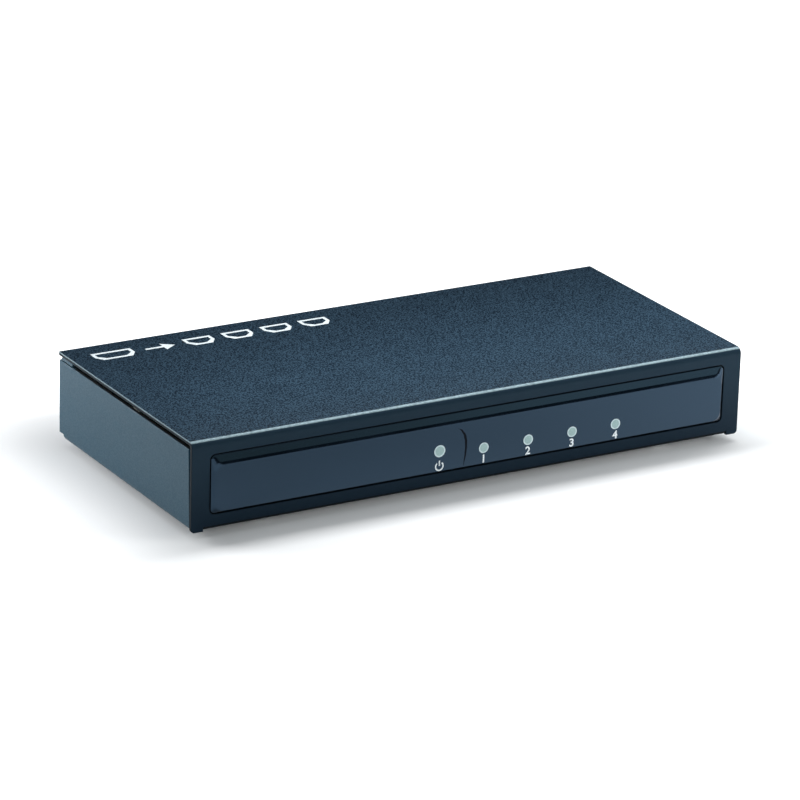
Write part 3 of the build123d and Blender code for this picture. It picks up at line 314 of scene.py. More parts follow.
def grained(
    name, dark, light, worn, roughness, metallic=0.0, grain=PAINT_GRAIN, relief=0.2,
    mottle=0.3, streak=1.0, soft=0.16, wear=0.5, swing=0.06, shine=0.5,
):
    """Finish with grain in its colour, gloss and height, and worn or rounded edges."""
    material, tree, shader = start_material(name, light, roughness, metallic)
    grains = use_group(tree, grain_group, Size=grain, Mottle=mottle, Streak=streak, Soft=soft)
    edges = use_group(tree, edge_group, Wear=wear)
    coat = add_mix(tree, grains["Speckle"], dark, light)
    coat = add_mix(tree, edges["Mask"], coat, worn)
    tree.links.new(coat, shader.inputs["Base Color"])
    gloss = add_range(tree, grains["Speckle"], 0.0, 1.0, roughness + swing, roughness - swing)
    tree.links.new(gloss, shader.inputs["Roughness"])
    heights = {"Strength": relief, "Distance": GRAIN_HEIGHT, "Height": grains["Height"]}
    bumps = add_node(tree, "ShaderNodeBump", {**heights, "Normal": edges["Normal"]})
    tree.links.new(bumps.outputs[0], shader.inputs["Normal"])
    shader.inputs["Specular IOR Level"].default_value = shine
    return material


def shader_of(material):
    """A finish's tree and its shader, for more work on it."""
    return material.node_tree, material.node_tree.nodes["Principled BSDF"]


def paint(material, *names):
    """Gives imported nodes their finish."""
    for name in names:
        mesh = NODES[name].data
        mesh.materials.clear()
        mesh.materials.append(material)


def lay_over(tree, shader, mask, colour, roughness):
    """Second colour and gloss over the first, where a mask says so."""
    colours, glosses = shader.inputs["Base Color"], shader.inputs["Roughness"]
    tree.links.new(add_mix(tree, mask, colours.links[0].from_socket, colour), colours)
    gloss = add_range(tree, mask, 0.0, 1.0, glosses.links[0].from_socket, roughness)
    tree.links.new(gloss, glosses)


tray_paint = grained(
    "tray_paint", dark=TRAY_DARK, light=TRAY_LIGHT, worn=TRAY_WORN, roughness=0.4,
    relief=0.12, shine=0.25,
)
tree, shader = shader_of(tray_paint)
place = add_node(tree, "ShaderNodeTexCoord").outputs["Object"]
parts = add_node(tree, "ShaderNodeSeparateXYZ", {"Vector": place}).outputs
# Painted shade: the side walls' upper edges are darkened where the cover overhangs them.
overhang_shade = add_math(tree, "LESS_THAN", parts["Y"], OVERHANG_SHADE_REAR_Y)
overhang_shade = add_math(tree, "MULTIPLY", overhang_shade, add_math(tree, "GREATER_THAN", parts["Z"], OVERHANG_SHADE_Z))
from_middle = add_math(tree, "ABSOLUTE", parts["X"])
overhang_shade = add_math(tree, "MULTIPLY", overhang_shade, add_range(tree, from_middle, *OVERHANG_SHADE_X, 1.0, 0.0))
lay_over(tree, shader, overhang_shade, OVERHANG_SHADE_COLOUR, OVERHANG_SHADE_ROUGHNESS)
paint(tray_paint, "base_tray")

# The feet. Four black rubber discs, moulded with a fine matt grain and stuck
# to the tray; their rims are rubbed a little paler.
rubber = grained(
    "rubber", dark=(0.012, 0.012, 0.013), light=(0.024, 0.024, 0.025), worn=(0.07, 0.07, 0.07),
    roughness=0.75, grain=0.5 * MM, relief=0.5, shine=0.3,
)
paint(rubber, "rubber_feet")

# The fasteners. Zinc-plated steel: four pan-head screws with a cross recess close the
# case from below, and nuts, pillars, standoffs and small screws hold the rest.
ZINC_DARK = (0.42, 0.43, 0.44)
ZINC_LIGHT = (0.6, 0.61, 0.62)
ZINC_WORN = (0.75, 0.75, 0.76)
SCREW_PLACES = [(-62, -33.2), (62, -33.2), (-79.2, 25.4), (79.2, 25.4)]
SCREW_OUTLINE = [  # radius and height of each ring, from the head's crown to the tip
    (0.0, 0.4), (1.1, 0.43), (1.9, 0.62), (2.5, 1.0), (2.75, 1.45),
    (2.75, 2.0), (1.5, 2.0), (1.5, 6.5), (1.05, 7.0), (0.0, 7.0),
]
SCREW_SIDES = 40
SCREW_SMOOTH = 35  # degrees up to which its edges are shaded smooth
CROSS_ARM = 1.55
CROSS_HALF = 0.33
CROSS_TAPER = 0.5  # the recess's size at its bottom against its mouth
CROSS_FROM = 0.2
CROSS_TO = 1.6


def new_piece(name, mesh, material):
    """Object that rides on the case, with its finish."""
    mesh.materials.clear()
    mesh.materials.append(material)
    piece = bpy.data.objects.new(name, mesh)
    bpy.context.scene.collection.objects.link(piece)
    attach(piece, "root")
    return piece


def finish_mesh(name, bm, smooth_angle=None):
    """Mesh from a bmesh, with its faces turned outwards and shaded smooth or flat."""
    bmesh.ops.recalc_face_normals(bm, faces=bm.faces)
    mesh = bpy.data.meshes.new(name)
    bm.to_mesh(mesh)
    bm.free()
    if smooth_angle is not None:
        mesh.shade_smooth()
        mesh.set_sharp_from_angle(angle=math.radians(smooth_angle))
    return mesh


def turned(outline, sides):
    """Round solid turned about Z from rings of radius and height in millimetres."""
    bm = bmesh.new()
    rings = []
    for radius, height in outline:
        turns = sides if radius else 1
        angles = [2 * math.pi * turn / turns for turn in range(turns)]
        ring = [(radius * math.cos(a) * MM, radius * math.sin(a) * MM, height * MM) for a in angles]
        rings.append([bm.verts.new(point) for point in ring])
    for low, high in zip(rings, rings[1:]):
        for turn in range(sides):
            corners = [low[turn % len(low)], low[(turn + 1) % len(low)]]
            corners += [high[(turn + 1) % len(high)], high[turn % len(high)]]
            bm.faces.new(list(dict.fromkeys(corners)))
    return bm


def cross_cutter():
    """Tapered cross that a driver's tip leaves in the head."""
    quarter = [(CROSS_HALF, -CROSS_HALF), (CROSS_ARM, -CROSS_HALF), (CROSS_ARM, CROSS_HALF)]
    outline = []
    for turn in range(4):
        spin = Matrix.Rotation(turn * math.pi / 2, 2)
        outline += [spin @ Vector(point) for point in quarter]
    bm = bmesh.new()
    rings = []
    for share, height in ((1.0, CROSS_FROM), (CROSS_TAPER, CROSS_TO)):
        rings.append([bm.verts.new((x * share * MM, y * share * MM, height * MM)) for x, y in outline])
    low, high = rings
    bm.faces.new(low)
    bm.faces.new(high)
    for corner in range(len(low)):
        after = (corner + 1) % len(low)
        bm.faces.new((low[corner], low[after], high[after], high[corner]))
    return bm


screw = bpy.data.objects.new("screw", finish_mesh("screw", turned(SCREW_OUTLINE, SCREW_SIDES)))
cutter = bpy.data.objects.new("cutter", finish_mesh("cutter", cross_cutter()))
for tool in (screw, cutter):
    bpy.context.scene.collection.objects.link(tool)
cut = screw.modifiers.new("cross", "BOOLEAN")
cut.object = cutter
cut.operation = "DIFFERENCE"
cut.solver = "EXACT"
graph = bpy.context.evaluated_depsgraph_get()
one_screw = bpy.data.meshes.new_from_object(screw.evaluated_get(graph))
bpy.data.objects.remove(screw)
bpy.data.objects.remove(cutter)
bm = bmesh.new()
for x, y in SCREW_PLACES:
    before = set(bm.verts)
    bm.from_mesh(one_screw)
    bmesh.ops.translate(bm, verts=[v for v in bm.verts if v not in before], vec=(x * MM, y * MM, 0))
zinc = grained(
    "zinc", dark=ZINC_DARK, light=ZINC_LIGHT, worn=ZINC_WORN, roughness=0.34, metallic=1.0,
    grain=0.25 * MM, relief=0.15,
)
case_screws = new_piece("case_screws", finish_mesh("case_screws", bm, SCREW_SMOOTH), zinc)
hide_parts("cover_screws")
paint(zinc, "weld_nuts", "cover_pillars", "board_standoffs", "board_screws")

# The circuit board. Glass cloth and copper under green lacquer, so faint lines of tracks
# show through as slightly lighter bands. It is screwed to four standoffs in the tray.
BOARD_DARK = (0.006, 0.05, 0.025)
BOARD_LIGHT = (0.012, 0.085, 0.04)
TRACK_COLOUR = (0.03, 0.14, 0.06)
TRACK_SCALE = 420.0
TRACK_WIDTH = 0.06
TRACK_BLUR = 0.3
TRACK_ROUGHNESS = 0.25
board_lacquer = grained(
    "board_lacquer", dark=BOARD_DARK, light=BOARD_LIGHT, worn=(0.3, 0.3, 0.2), roughness=0.3,
    grain=0.6 * MM, relief=0.1,
)
tree, shader = shader_of(board_lacquer)
place = add_node(tree, "ShaderNodeTexCoord").outputs["Object"]
brick = {"Vector": place, "Scale": TRACK_SCALE, "Mortar Size": TRACK_WIDTH, "Mortar Smooth": TRACK_BLUR}
tracks = add_node(tree, "ShaderNodeTexBrick", brick).outputs["Fac"]
lay_over(tree, shader, tracks, TRACK_COLOUR, TRACK_ROUGHNESS)
paint(board_lacquer, "main_board")

# The chips and their cooler. Black epoxy packages with a fine matt moulding grain,
# tinned legs, a grey heat pad and a black anodised sink with milled fins.
chip_epoxy = grained(
    "chip_epoxy", dark=(0.012, 0.012, 0.013), light=(0.03, 0.03, 0.032), worn=(0.08, 0.08, 0.08),
    roughness=0.55, grain=0.15 * MM,
)
paint(chip_epoxy, "splitter_chip", "controller_chip", "memory_chip", "converter_chip")
paint(chip_epoxy, "voltage_regulator", "line_protectors")
tin = grained(
    "tin", dark=(0.6, 0.6, 0.58), light=(0.78, 0.78, 0.76), worn=(0.85, 0.85, 0.84),
    roughness=0.3, metallic=1.0, grain=0.3 * MM,
)
paint(tin, "led_leads", "controller_chip_leads", "small_chip_leads", "inductor_terminals")
heat_pad = grained(
    "heat_pad", dark=(0.2, 0.21, 0.22), light=(0.3, 0.31, 0.32), worn=(0.35, 0.35, 0.35),
    roughness=0.85, grain=0.4 * MM, relief=0.4,
)
paint(heat_pad, "thermal_pad")
anodised = grained(
    "anodised", dark=(0.012, 0.012, 0.014), light=(0.025, 0.025, 0.028), worn=(0.4, 0.4, 0.42),
    roughness=0.4, metallic=0.3, grain=0.2 * MM, streak=0.05, wear=0.35,
)
paint(anodised, "heat_sink")

# The power and timing parts, soldered to the board. A pressed ferrite coil, aluminium
# capacitor cans on black bases, a nickel-silver crystal can, a green fuse, and rows of
# tiny ceramic parts.
ferrite = grained(
    "ferrite", dark=(0.06, 0.06, 0.062), light=(0.11, 0.11, 0.112), worn=(0.2, 0.2, 0.2),
    roughness=0.6, grain=0.2 * MM, relief=0.4,
)
paint(ferrite, "power_inductor")
can_metal = grained(
    "can_metal", dark=(0.7, 0.71, 0.72), light=(0.82, 0.83, 0.84), worn=(0.9, 0.9, 0.9),
    roughness=0.28, metallic=1.0, grain=0.2 * MM,
)
paint(can_metal, "capacitor_cans")
black_moulding = grained(
    "black_moulding", dark=(0.012, 0.012, 0.013), light=(0.02, 0.02, 0.022), worn=(0.06, 0.06, 0.06),
    roughness=0.42, grain=0.18 * MM, relief=0.25, wear=0.3,
)
paint(black_moulding, "capacitor_bases", "led_holders", "dc_jack_body")
crystal_metal = grained(
    "crystal_metal", dark=(0.6, 0.57, 0.5), light=(0.74, 0.71, 0.64), worn=(0.85, 0.83, 0.78),
    roughness=0.25, metallic=1.0, grain=0.2 * MM,
)
paint(crystal_metal, "crystal_can")
fuse_lacquer = grained(
    "fuse_lacquer", dark=(0.01, 0.08, 0.03), light=(0.02, 0.13, 0.05), worn=(0.5, 0.5, 0.45),
    roughness=0.4, grain=0.3 * MM,
)
paint(fuse_lacquer, "input_fuse")
ceramic = grained(
    "ceramic", dark=(0.32, 0.2, 0.1), light=(0.42, 0.28, 0.15), worn=(0.7, 0.7, 0.68),
    roughness=0.5, grain=0.12 * MM, wear=0.8,
)
paint(ceramic, "ceramic_capacitors")
resistor_glaze = grained(
    "resistor_glaze", dark=(0.008, 0.008, 0.01), light=(0.02, 0.02, 0.022), worn=(0.7, 0.7, 0.68),
    roughness=0.3, grain=0.2 * MM, wear=0.8,
)
paint(resistor_glaze, "resistors")

# The video sockets, in a row at the board's rear edge. Each has a shell formed from
# nickel-plated sheet with latch springs, a black insulator, and nineteen gold-plated
# contacts on its tongue.
socket_nickel = grained(
    "socket_nickel", dark=(0.5, 0.49, 0.46), light=(0.66, 0.65, 0.61), worn=(0.82, 0.8, 0.76),
    roughness=0.26, metallic=1.0, grain=0.18 * MM, streak=0.25, relief=0.12,
)
socket_plastic = grained(
    "socket_plastic", dark=(0.01, 0.01, 0.011), light=(0.018, 0.018, 0.02), worn=(0.05, 0.05, 0.05),
    roughness=0.38, grain=0.15 * MM, wear=0.3,
)
gold = grained(
    "gold", dark=(0.85, 0.56, 0.22), light=(0.98, 0.7, 0.32), worn=(1.0, 0.8, 0.45),
    roughness=0.22, metallic=1.0, grain=0.15 * MM,
)
for socket in ["input_socket"] + [f"output_socket_{count}" for count in (1, 2, 3, 4)]:
    paint(socket_nickel, f"{socket}_shell")
    paint(socket_plastic, f"{socket}_insulator")
    paint(gold, f"{socket}_contacts")

# The power inlet. A moulded body round a nickel-plated centre pin, with a sprung
# side contact and flat tabs that pass through the board.
nickel = grained(
    "nickel", dark=(0.55, 0.54, 0.51), light=(0.7, 0.69, 0.66), worn=(0.85, 0.84, 0.81),
    roughness=0.24, metallic=1.0, grain=0.2 * MM,
)
paint(nickel, "dc_jack_pin", "dc_jack_spring", "dc_jack_terminals")

# The indicator lamps. Small domed bodies of milky clear resin that stand behind
# the label's windows, each on two tinned leads in a black holder.
RESIN_DEPTH_SHARE = 0.3
RESIN_DEPTH = (1 * MM, 1 * MM, 1 * MM)
lamp_resin = grained(
    "lamp_resin", dark=(0.6, 0.66, 0.62), light=(0.75, 0.8, 0.76), worn=(0.85, 0.88, 0.85),
    roughness=0.2, grain=0.4 * MM, relief=0.05,
)
tree, shader = shader_of(lamp_resin)
shader.inputs["Subsurface Weight"].default_value = RESIN_DEPTH_SHARE
shader.inputs["Subsurface Radius"].default_value = RESIN_DEPTH
paint(lamp_resin, "led_power", *[f"led_output_{count}" for count in (1, 2, 3, 4)])

# The cover. The upper folded sheet of 1 mm steel: top, front wall and return flange,
# screwed down to the tray. Its textured powder coat has a dark grain that catches the
# light in fine points; the coat is smoother in front, where painted shade makes it darker
# than the top and darker still towards the bottom, and a painted highlight runs along the fold.
COVER_GRAIN = 0.43 * MM
COVER_DARK = (0.0, 0.002, 0.007)
COVER_LIGHT = (0.032, 0.06, 0.09)
COVER_WORN = (0.3, 0.42, 0.46)
FRONT_SHADE_LOW = (0.003, 0.009, 0.018)
FRONT_SHADE_HIGH = (0.01, 0.022, 0.036)
COVER_TINT = (0.5, 0.78, 1.0)
FRONT_SHADE_Z = (3 * MM, 24 * MM)
FRONT_ROUGHNESS = 0.4
FRONT_Y = (-37.9 * MM, -37.7 * MM)  # where the smoother front of the coat, painted darker as shade, ends
RECESS_SHADE_COLOUR = (0.001, 0.0015, 0.0025)
RECESS_ROUGHNESS = 0.7
RECESS_Y = (-38.52 * MM, -38.42 * MM)
RECESS_Z = 23.0 * MM
FOLD_HIGHLIGHT_COLOUR = (0.22, 0.3, 0.33)
FOLD_ROUGHNESS = 0.22
FOLD_REAR_Y = (-37.4 * MM, -36.9 * MM)  # where the painted highlight along the front fold fades
FOLD_FRONT_Y = (-38.05 * MM, -37.8 * MM)
FOLD_Z = 20 * MM
FOLD_PATCH_SCALE = 900.0
FOLD_PATCH_RANGE = (0.3, 0.6)
FOLD_PATCH_LEAST = 0.6
CUT_HIGHLIGHT_COLOUR = (0.16, 0.23, 0.26)
CUT_ROUGHNESS = 0.35
CUT_SHADE_COLOUR = (0.002, 0.004, 0.007)
CUT_SHADE_ROUGHNESS = 0.6
CUT_X = (84.9 * MM, 84.95 * MM)  # where the cover's cut edges start
CUT_Z = (26.6 * MM, 26.75 * MM)
cover_coat = grained(
    "cover_coat", dark=COVER_DARK, light=COVER_LIGHT, worn=COVER_WORN, roughness=0.46,
    grain=COVER_GRAIN, relief=0.5, mottle=0.25, soft=0.04, wear=0.35, swing=0.1, shine=0.2,
)
tree, shader = shader_of(cover_coat)
place = add_node(tree, "ShaderNodeTexCoord").outputs["Object"]
parts = add_node(tree, "ShaderNodeSeparateXYZ", {"Vector": place}).outputs
# Painted shade: the front wall is darker than the top, and darker still towards the bottom.
front_shaded_coat = add_mix(tree, add_range(tree, parts["Z"], *FRONT_SHADE_Z), FRONT_SHADE_LOW, FRONT_SHADE_HIGH)
in_front = add_range(tree, parts["Y"], *FRONT_Y, 1.0, 0.0)
lay_over(tree, shader, in_front, front_shaded_coat, FRONT_ROUGHNESS)
# Painted shade: the recess's wall and floor around the label are nearly black.
below = add_math(tree, "LESS_THAN", parts["Z"], RECESS_Z)
recess = add_math(tree, "MULTIPLY", below, add_range(tree, parts["Y"], *RECESS_Y))
recess = add_math(tree, "MULTIPLY", recess, in_front)
lay_over(tree, shader, recess, RECESS_SHADE_COLOUR, RECESS_ROUGHNESS)
# Painted highlight: a pale line along the front fold, broken into patches, on a glossier coat.
rear_side = add_range(tree, parts["Y"], *FOLD_REAR_Y, 1.0, 0.0)
front_side = add_range(tree, parts["Y"], *FOLD_FRONT_Y)
fold = add_math(tree, "MULTIPLY", rear_side, front_side)
fold = add_math(tree, "MULTIPLY", fold, add_math(tree, "GREATER_THAN", parts["Z"], FOLD_Z))
patch_inputs = {"Vector": place, "Scale": FOLD_PATCH_SCALE, "Detail": 3.0}
patches = add_node(tree, "ShaderNodeTexNoise", patch_inputs).outputs["Fac"]
patchy = add_range(tree, patches, *FOLD_PATCH_RANGE, FOLD_PATCH_LEAST, 1.0)
lay_over(tree, shader, add_math(tree, "MULTIPLY", fold, patchy), FOLD_HIGHLIGHT_COLOUR, FOLD_ROUGHNESS)
# The cover's cut edges: painted shade on their lower part, a painted highlight along their upper part.
cut = add_range(tree, add_math(tree, "ABSOLUTE", parts["X"]), *CUT_X)
lay_over(tree, shader, cut, CUT_SHADE_COLOUR, CUT_SHADE_ROUGHNESS)
cut = add_math(tree, "MULTIPLY", cut, add_range(tree, parts["Z"], *CUT_Z))
lay_over(tree, shader, cut, CUT_HIGHLIGHT_COLOUR, CUT_ROUGHNESS)
shader.inputs["Specular Tint"].default_value = (*COVER_TINT, 1)
paint(cover_coat, "top_cover")

# The label. A film printed dark blue, taped into the cover's recess, under a cast crown
# of glossy resin that falls away in a sloping border on all four sides. The film's colour
# is in the resin, whose face mirrors the studio.
LABEL_WIDTH = 158.7
LABEL_HEIGHT = 16.1
LABEL_CORNER = 1.2
LABEL_Z = 14.65
LABEL_FACE_Y = -39.39
DOME_BACK_Y = -38.4
BORDER = 3.0
BORDER_SLOPES = [  # distance outwards from the flat, and the face's slope there in degrees
    (0.0, 0.0), (0.2, 12.4), (1.05, 14.6), (1.15, 16.4), (2.7, 16.4), (3.0, 38.0),
]
BOTTOM_SHARE = 0.2  # the border's width below and at the sides, against its width above
SIDE_SHARE = 0.3
CORNER_GROWTH = 0.5  # how fast the corners widen inwards
CORNER_STEPS = 10
RING_STEPS = 4
FILM_DARK = (0.0026, 0.006, 0.011)
FILM_LIGHT = (0.0036, 0.008, 0.015)
DOME_DARK = (0.0012, 0.003, 0.0055)
DOME_COLOUR = (0.0015, 0.0035, 0.007)
DOME_TINT = (0.38, 0.66, 1.0)
DOME_IOR = 1.74
DOME_ROUGHNESS = (0.078, 0.1)
SMEAR_SIZE = 9 * MM
RIPPLE_HEIGHT = 0.1 * MM
RIPPLE_STRENGTH = 0.05
CROWN_SMOOTH = 60  # degrees up to which its edges are shaded smooth


def rounded_ring(inset):
    """Label's outline in X and Z, drawn in by an inset, with corners that widen."""
    radius = LABEL_CORNER + CORNER_GROWTH * inset
    across = LABEL_WIDTH / 2 - SIDE_SHARE * inset - radius
    upwards = LABEL_HEIGHT / 2 - inset * (1 + BOTTOM_SHARE) / 2 - radius
    middle = LABEL_Z - inset * (1 - BOTTOM_SHARE) / 2
    points = []
    for corner, (side, rise) in enumerate(((1, 1), (-1, 1), (-1, -1), (1, -1))):
        for step in range(CORNER_STEPS + 1):
            angle = (corner + step / CORNER_STEPS) * math.pi / 2
            x = side * across + radius * math.cos(angle)
            z = middle + rise * upwards + radius * math.sin(angle)
            points.append((x, z))
    return points


def crown_mesh():
    """Crown with a flat face, a sloping border and a thin edge, closed at its back."""
    levels = [(BORDER, LABEL_FACE_Y)]
    for (near, start), (far, end) in zip(BORDER_SLOPES, BORDER_SLOPES[1:]):
        width = (far - near) / RING_STEPS
        for step in range(RING_STEPS):
            slope = math.radians(start + (end - start) * (step + 0.5) / RING_STEPS)
            inset, y = levels[-1]
            levels.append((inset - width, y + math.tan(slope) * width))
    levels.append((0.0, DOME_BACK_Y))
    bm = bmesh.new()
    rings = []
    for inset, y in levels:
        rings.append([bm.verts.new((x * MM, y * MM, z * MM)) for x, z in rounded_ring(inset)])
    for inner, outer in zip(rings, rings[1:]):
        for corner in range(len(inner)):
            after = (corner + 1) % len(inner)
            bm.faces.new((inner[corner], inner[after], outer[after], outer[corner]))
    bm.faces.new(rings[0])
    bm.faces.new(rings[-1])
    return bm


tape = grained(
    "tape", dark=(0.004, 0.004, 0.005), light=(0.01, 0.01, 0.011), worn=(0.01, 0.01, 0.01),
    roughness=0.8, grain=0.3 * MM, relief=0.3,
)
paint(tape, "label_adhesive")
film = grained(
    "film", dark=FILM_DARK, light=FILM_LIGHT, worn=FILM_DARK, roughness=0.5,
    grain=0.6 * MM, relief=0.05, mottle=0.6, wear=0.0, shine=0.0,
)
paint(film, "label_film")

dome_resin, tree, shader = start_material("dome_resin", DOME_COLOUR, roughness=0.09)
shader.inputs["IOR"].default_value = DOME_IOR
shader.inputs["Specular Tint"].default_value = (*DOME_TINT, 1)
smears = use_group(tree, grain_group, Size=SMEAR_SIZE, Mottle=0.5, Streak=0.4)
tree.links.new(add_mix(tree, smears["Speckle"], DOME_DARK, DOME_COLOUR), shader.inputs["Base Color"])
gloss = add_range(tree, smears["Speckle"], 0.0, 1.0, *DOME_ROUGHNESS)
tree.links.new(gloss, shader.inputs["Roughness"])
heights = {"Strength": RIPPLE_STRENGTH, "Distance": RIPPLE_HEIGHT, "Height": smears["Height"]}
ripple = add_node(tree, "ShaderNodeBump", heights)
tree.links.new(ripple.outputs[0], shader.inputs["Normal"])
crown = finish_mesh("label_crown", crown_mesh(), CROWN_SMOOTH)
label_crown = new_piece("label_crown", crown, dome_resin)
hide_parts("label_dome")

# The label's print, laid on the crown's flat face. Five pale windows with lighter rims
# in front of the lamps, which glow faintly as painted light, a power sign under the first,
# plain numbers under the four for the outputs, and a curved black divider.
PRINT_THICK = 0.02
PRINT_SINK = 0.01
POWER_WINDOW = (-11.15, 12.9, 1.7)  # its middle's X and Z, and its radius
OUTPUT_WINDOWS = [(2.55, 11.6, 1.5), (16.45, 11.6, 1.5), (30.35, 11.6, 1.5), (44.25, 11.6, 1.5)]
RIM_SHARE = 0.76
WINDOW_SIDES = 48
NUMBER_HEIGHT = 2.3
NUMBER_Z = 8.4
NUMBER_BOLD = 0.08
SIGN_Z = 8.6
SIGN_RADIUS = 1.15
SIGN_WIDTH = 0.42
SIGN_OPENING = 38.0  # degrees each side of the top
SIGN_STEPS = 24
STEM_FOOT = 0.1  # how far the stem starts above the sign's middle
STEM_RISE = 0.45  # how far it stands out of the ring
DIVIDER = [  # points down its middle line, in X and Z
    (-5.8, 18.5), (-4.6, 17.9), (-3.6, 16.5), (-3.1, 14.7), (-3.0, 12.7), (-3.2, 10.4), (-3.7, 7.6),
]
DIVIDER_WIDTHS = [0.1, 0.5, 0.75, 0.7, 0.6, 0.5, 0.1]
PRINT_WHITE = (0.84, 0.9, 0.93)
PRINT_WHITE_DARK = (0.76, 0.83, 0.87)
PRINT_BLACK = (0.002, 0.004, 0.008)
RIM_PAINTED_GLOW = (0.7, 0.85, 0.88)
WINDOW_PAINTED_GLOW = (0.6, 0.8, 0.78)
PAINTED_GLOW_STRENGTH = 0.1


def on_crown(across, upwards, out):
    """Point on the crown's flat face: across is X, upwards is Z, out is towards the viewer."""
    return Vector((across, LABEL_FACE_Y + PRINT_SINK - out, upwards)) * MM


def add_strip(bm, left, right, place, thick, closed=False):
    """Flat printed strip between two lines of points, with its thickness."""
    low = [[bm.verts.new(place(*point, 0)) for point in line] for line in (left, right)]
    high = [[bm.verts.new(place(*point, thick)) for point in line] for line in (left, right)]
    count = len(left)
    for here in range(count if closed else count - 1):
        after = (here + 1) % count
        for layer in (low, high):
            bm.faces.new((layer[0][here], layer[0][after], layer[1][after], layer[1][here]))
        for side in (0, 1):
            bm.faces.new((low[side][here], low[side][after], high[side][after], high[side][here]))
    if not closed:
        for end in (0, -1):
            bm.faces.new((low[0][end], low[1][end], high[1][end], high[0][end]))


def add_disc(bm, outline, place, thick):
    """Flat printed area inside one closed outline, with its thickness."""
    low = [bm.verts.new(place(*point, 0)) for point in outline]
    high = [bm.verts.new(place(*point, thick)) for point in outline]
    bm.faces.new(low)
    bm.faces.new(high)
    for here in range(len(low)):
        after = (here + 1) % len(low)
        bm.faces.new((low[here], low[after], high[after], high[here]))


def circle(middle_x, middle_z, radius, steps, first=0.0, last=2 * math.pi, ends=False):
    """Points round a circle or along an arc of it."""
    turns = steps + 1 if ends else steps
    angles = [first + (last - first) * step / steps for step in range(turns)]
    return [(middle_x + radius * math.cos(a), middle_z + radius * math.sin(a)) for a in angles]


print_white = grained(
    "print_white", dark=PRINT_WHITE_DARK, light=PRINT_WHITE, worn=PRINT_WHITE, roughness=0.5,
    grain=0.25 * MM, relief=0.1, wear=0.0,
)
rim_print = grained(
    "rim_print", dark=(0.48, 0.6, 0.63), light=(0.56, 0.69, 0.72), worn=PRINT_WHITE, roughness=0.5,
    grain=0.3 * MM, relief=0.1, wear=0.0,
)
window_print = grained(
    "window_print", dark=(0.24, 0.36, 0.37), light=(0.29, 0.42, 0.42), worn=PRINT_WHITE,
    roughness=0.5, grain=0.35 * MM, wear=0.0,
)
# Painted glow: the windows and rims are given a faint emission, though the lamps behind them are unlit.
for material, glow in ((rim_print, RIM_PAINTED_GLOW), (window_print, WINDOW_PAINTED_GLOW)):
    tree, shader = shader_of(material)
    shader.inputs["Emission Color"].default_value = (*glow, 1)
    shader.inputs["Emission Strength"].default_value = PAINTED_GLOW_STRENGTH
print_black = grained(
    "print_black", dark=PRINT_BLACK, light=PRINT_BLACK, worn=PRINT_BLACK, roughness=0.6,
    grain=0.3 * MM, wear=0.0, shine=0.1,
)

rims = bmesh.new()
panes = bmesh.new()
for x, z, radius in [POWER_WINDOW, *OUTPUT_WINDOWS]:
    outer = circle(x, z, radius, WINDOW_SIDES)
    inner = circle(x, z, radius * RIM_SHARE, WINDOW_SIDES)
    add_strip(rims, outer, inner, on_crown, PRINT_THICK, closed=True)
    add_disc(panes, inner, on_crown, PRINT_THICK)
new_piece("window_rims", finish_mesh("window_rims", rims), rim_print)
new_piece("window_panes", finish_mesh("window_panes", panes), window_print)

sign = bmesh.new()
sign_x = POWER_WINDOW[0]
opening = math.radians(SIGN_OPENING)
turn = (math.pi / 2 + opening, 2.5 * math.pi - opening)
arcs = []
for radius in (SIGN_RADIUS + SIGN_WIDTH / 2, SIGN_RADIUS - SIGN_WIDTH / 2):
    arcs.append(circle(sign_x, SIGN_Z, radius, SIGN_STEPS, *turn, ends=True))
add_strip(sign, *arcs, on_crown, PRINT_THICK)
stem_x = (sign_x - SIGN_WIDTH / 2, sign_x + SIGN_WIDTH / 2)
stem_z = (SIGN_Z + STEM_FOOT, SIGN_Z + SIGN_RADIUS + STEM_RISE)
add_strip(sign, [(stem_x[0], z) for z in stem_z], [(stem_x[1], z) for z in stem_z], on_crown, PRINT_THICK)
new_piece("power_sign", finish_mesh("power_sign", sign), print_white)

divider = bmesh.new()
divider_sides = []
for way in (-1, 1):
    divider_sides.append([(x + way * width / 2, z) for (x, z), width in zip(DIVIDER, DIVIDER_WIDTHS)])
add_strip(divider, *divider_sides, on_crown, PRINT_THICK)
new_piece("label_divider", finish_mesh("label_divider", divider), print_black)

TYPE_SHARE = 1.37  # the type's size against the height of its figures


def number_mesh(text, height, bold, thick):
    """Raised flat numbers from the built-in type, centred, in X and Y."""
    letters = bpy.data.curves.new("letters", "FONT")
    letters.body = text
    letters.align_x = "CENTER"
    letters.align_y = "CENTER"
    letters.size = height * TYPE_SHARE * MM
    letters.offset = bold * MM
    letters.extrude = thick / 2 * MM
    holder = bpy.data.objects.new("letters", letters)
    bpy.context.scene.collection.objects.link(holder)
    graph = bpy.context.evaluated_depsgraph_get()
    mesh = bpy.data.meshes.new_from_object(holder.evaluated_get(graph))
    bpy.data.objects.remove(holder)
    return mesh


numbers = bmesh.new()
stand = Matrix.Rotation(math.pi / 2, 4, "X")
for count, (x, z, radius) in enumerate(OUTPUT_WINDOWS, start=1):
    before = set(numbers.verts)
    numbers.from_mesh(number_mesh(str(count), NUMBER_HEIGHT, NUMBER_BOLD, PRINT_THICK))
    added = [vert for vert in numbers.verts if vert not in before]
    place = Matrix.Translation(on_crown(x, NUMBER_Z, PRINT_THICK / 2))
    bmesh.ops.transform(numbers, matrix=place @ stand, verts=added)
new_piece("output_numbers", finish_mesh("output_numbers", numbers), print_white)

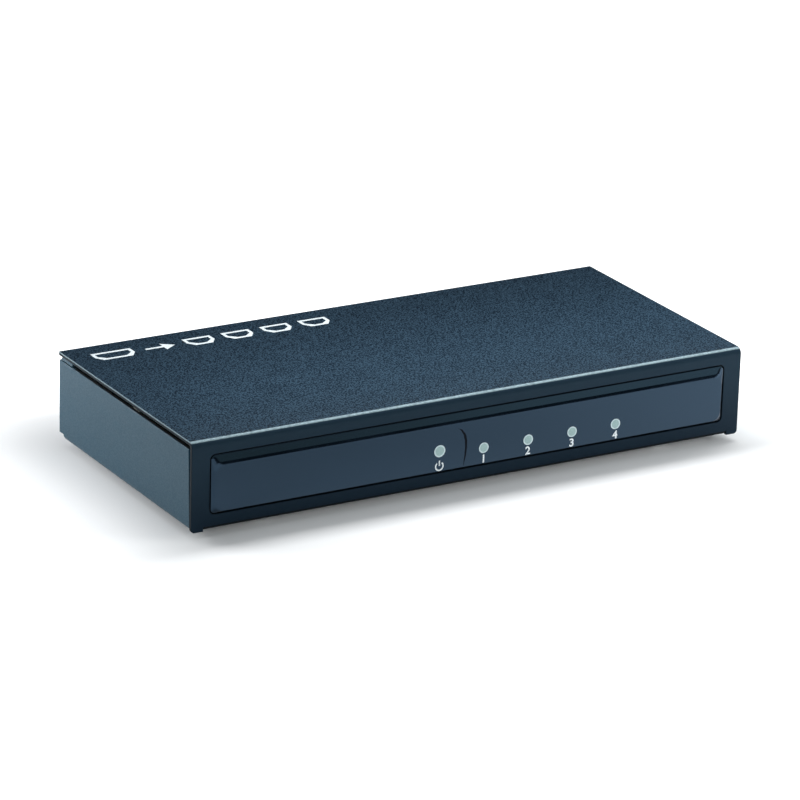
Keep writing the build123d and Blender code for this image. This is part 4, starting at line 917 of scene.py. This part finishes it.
# The print on the top. White screen-printed marks near the rear left: one socket
# outline, an arrow and four more socket outlines, for one input and four outputs.
TOP_Z = 27.0
MARK_LEFT = -78.6
MARK_FRONT = 27.9
MARK_HEIGHT = 5.6
MARK_LINE = 1.0
INPUT_LENGTH = 12.0
OUTPUT_LENGTH = 8.6
MARK_GAP = 3.4
ARROW_LENGTH = 9.0
ARROW_HEAD = 3.6
HEAD_INSET = 0.4  # the arrow's head inside the marks' height, above and below
SHOULDER_SHARE = 0.42  # the outline's sloping corners against its height
FOOT_SHARE = 0.7
MITRE_SHARE = 0.4


def on_top(across, upwards, out):
    """Point on the cover's top: across is X, upwards is Y, out is Z."""
    return Vector((across, upwards, TOP_Z - PRINT_SINK + out)) * MM


def socket_outline(left, length, inset):
    """Outline of a socket's mouth seen from outside, drawn in by an inset."""
    low, high = MARK_FRONT + inset, MARK_FRONT + MARK_HEIGHT - inset
    step = MARK_HEIGHT * SHOULDER_SHARE
    foot = step * FOOT_SHARE + inset * MITRE_SHARE
    start, end = left + inset, left + length - inset
    shoulder = MARK_FRONT + step + inset * MITRE_SHARE
    lower = [(start + foot, low), (end - foot, low)]
    return lower + [(end, shoulder), (end, high), (start, high), (start, shoulder)]


marks = bmesh.new()
left = MARK_LEFT
for count, length in enumerate([INPUT_LENGTH] + [OUTPUT_LENGTH] * 4):
    outer = socket_outline(left, length, 0)
    inner = socket_outline(left, length, MARK_LINE)
    add_strip(marks, outer, inner, on_top, PRINT_THICK, closed=True)
    left += length + MARK_GAP
    if count == 0:
        middle = MARK_FRONT + MARK_HEIGHT / 2
        neck = left + ARROW_LENGTH - ARROW_HEAD
        half_line = MARK_LINE / 2
        half_head = MARK_HEIGHT / 2 - HEAD_INSET
        arrow = [(left, middle - half_line), (neck, middle - half_line), (neck, middle - half_head)]
        arrow.append((left + ARROW_LENGTH, middle))
        arrow += [(neck, middle + half_head), (neck, middle + half_line), (left, middle + half_line)]
        add_disc(marks, arrow, on_top, PRINT_THICK)
        left += ARROW_LENGTH + MARK_GAP
top_print = grained(
    "top_print", dark=(0.62, 0.7, 0.74), light=(0.86, 0.92, 0.95), worn=PRINT_WHITE,
    roughness=0.5, grain=COVER_GRAIN, relief=0.4, wear=0.0,
)
new_piece("top_marks", finish_mesh("top_marks", marks), top_print)
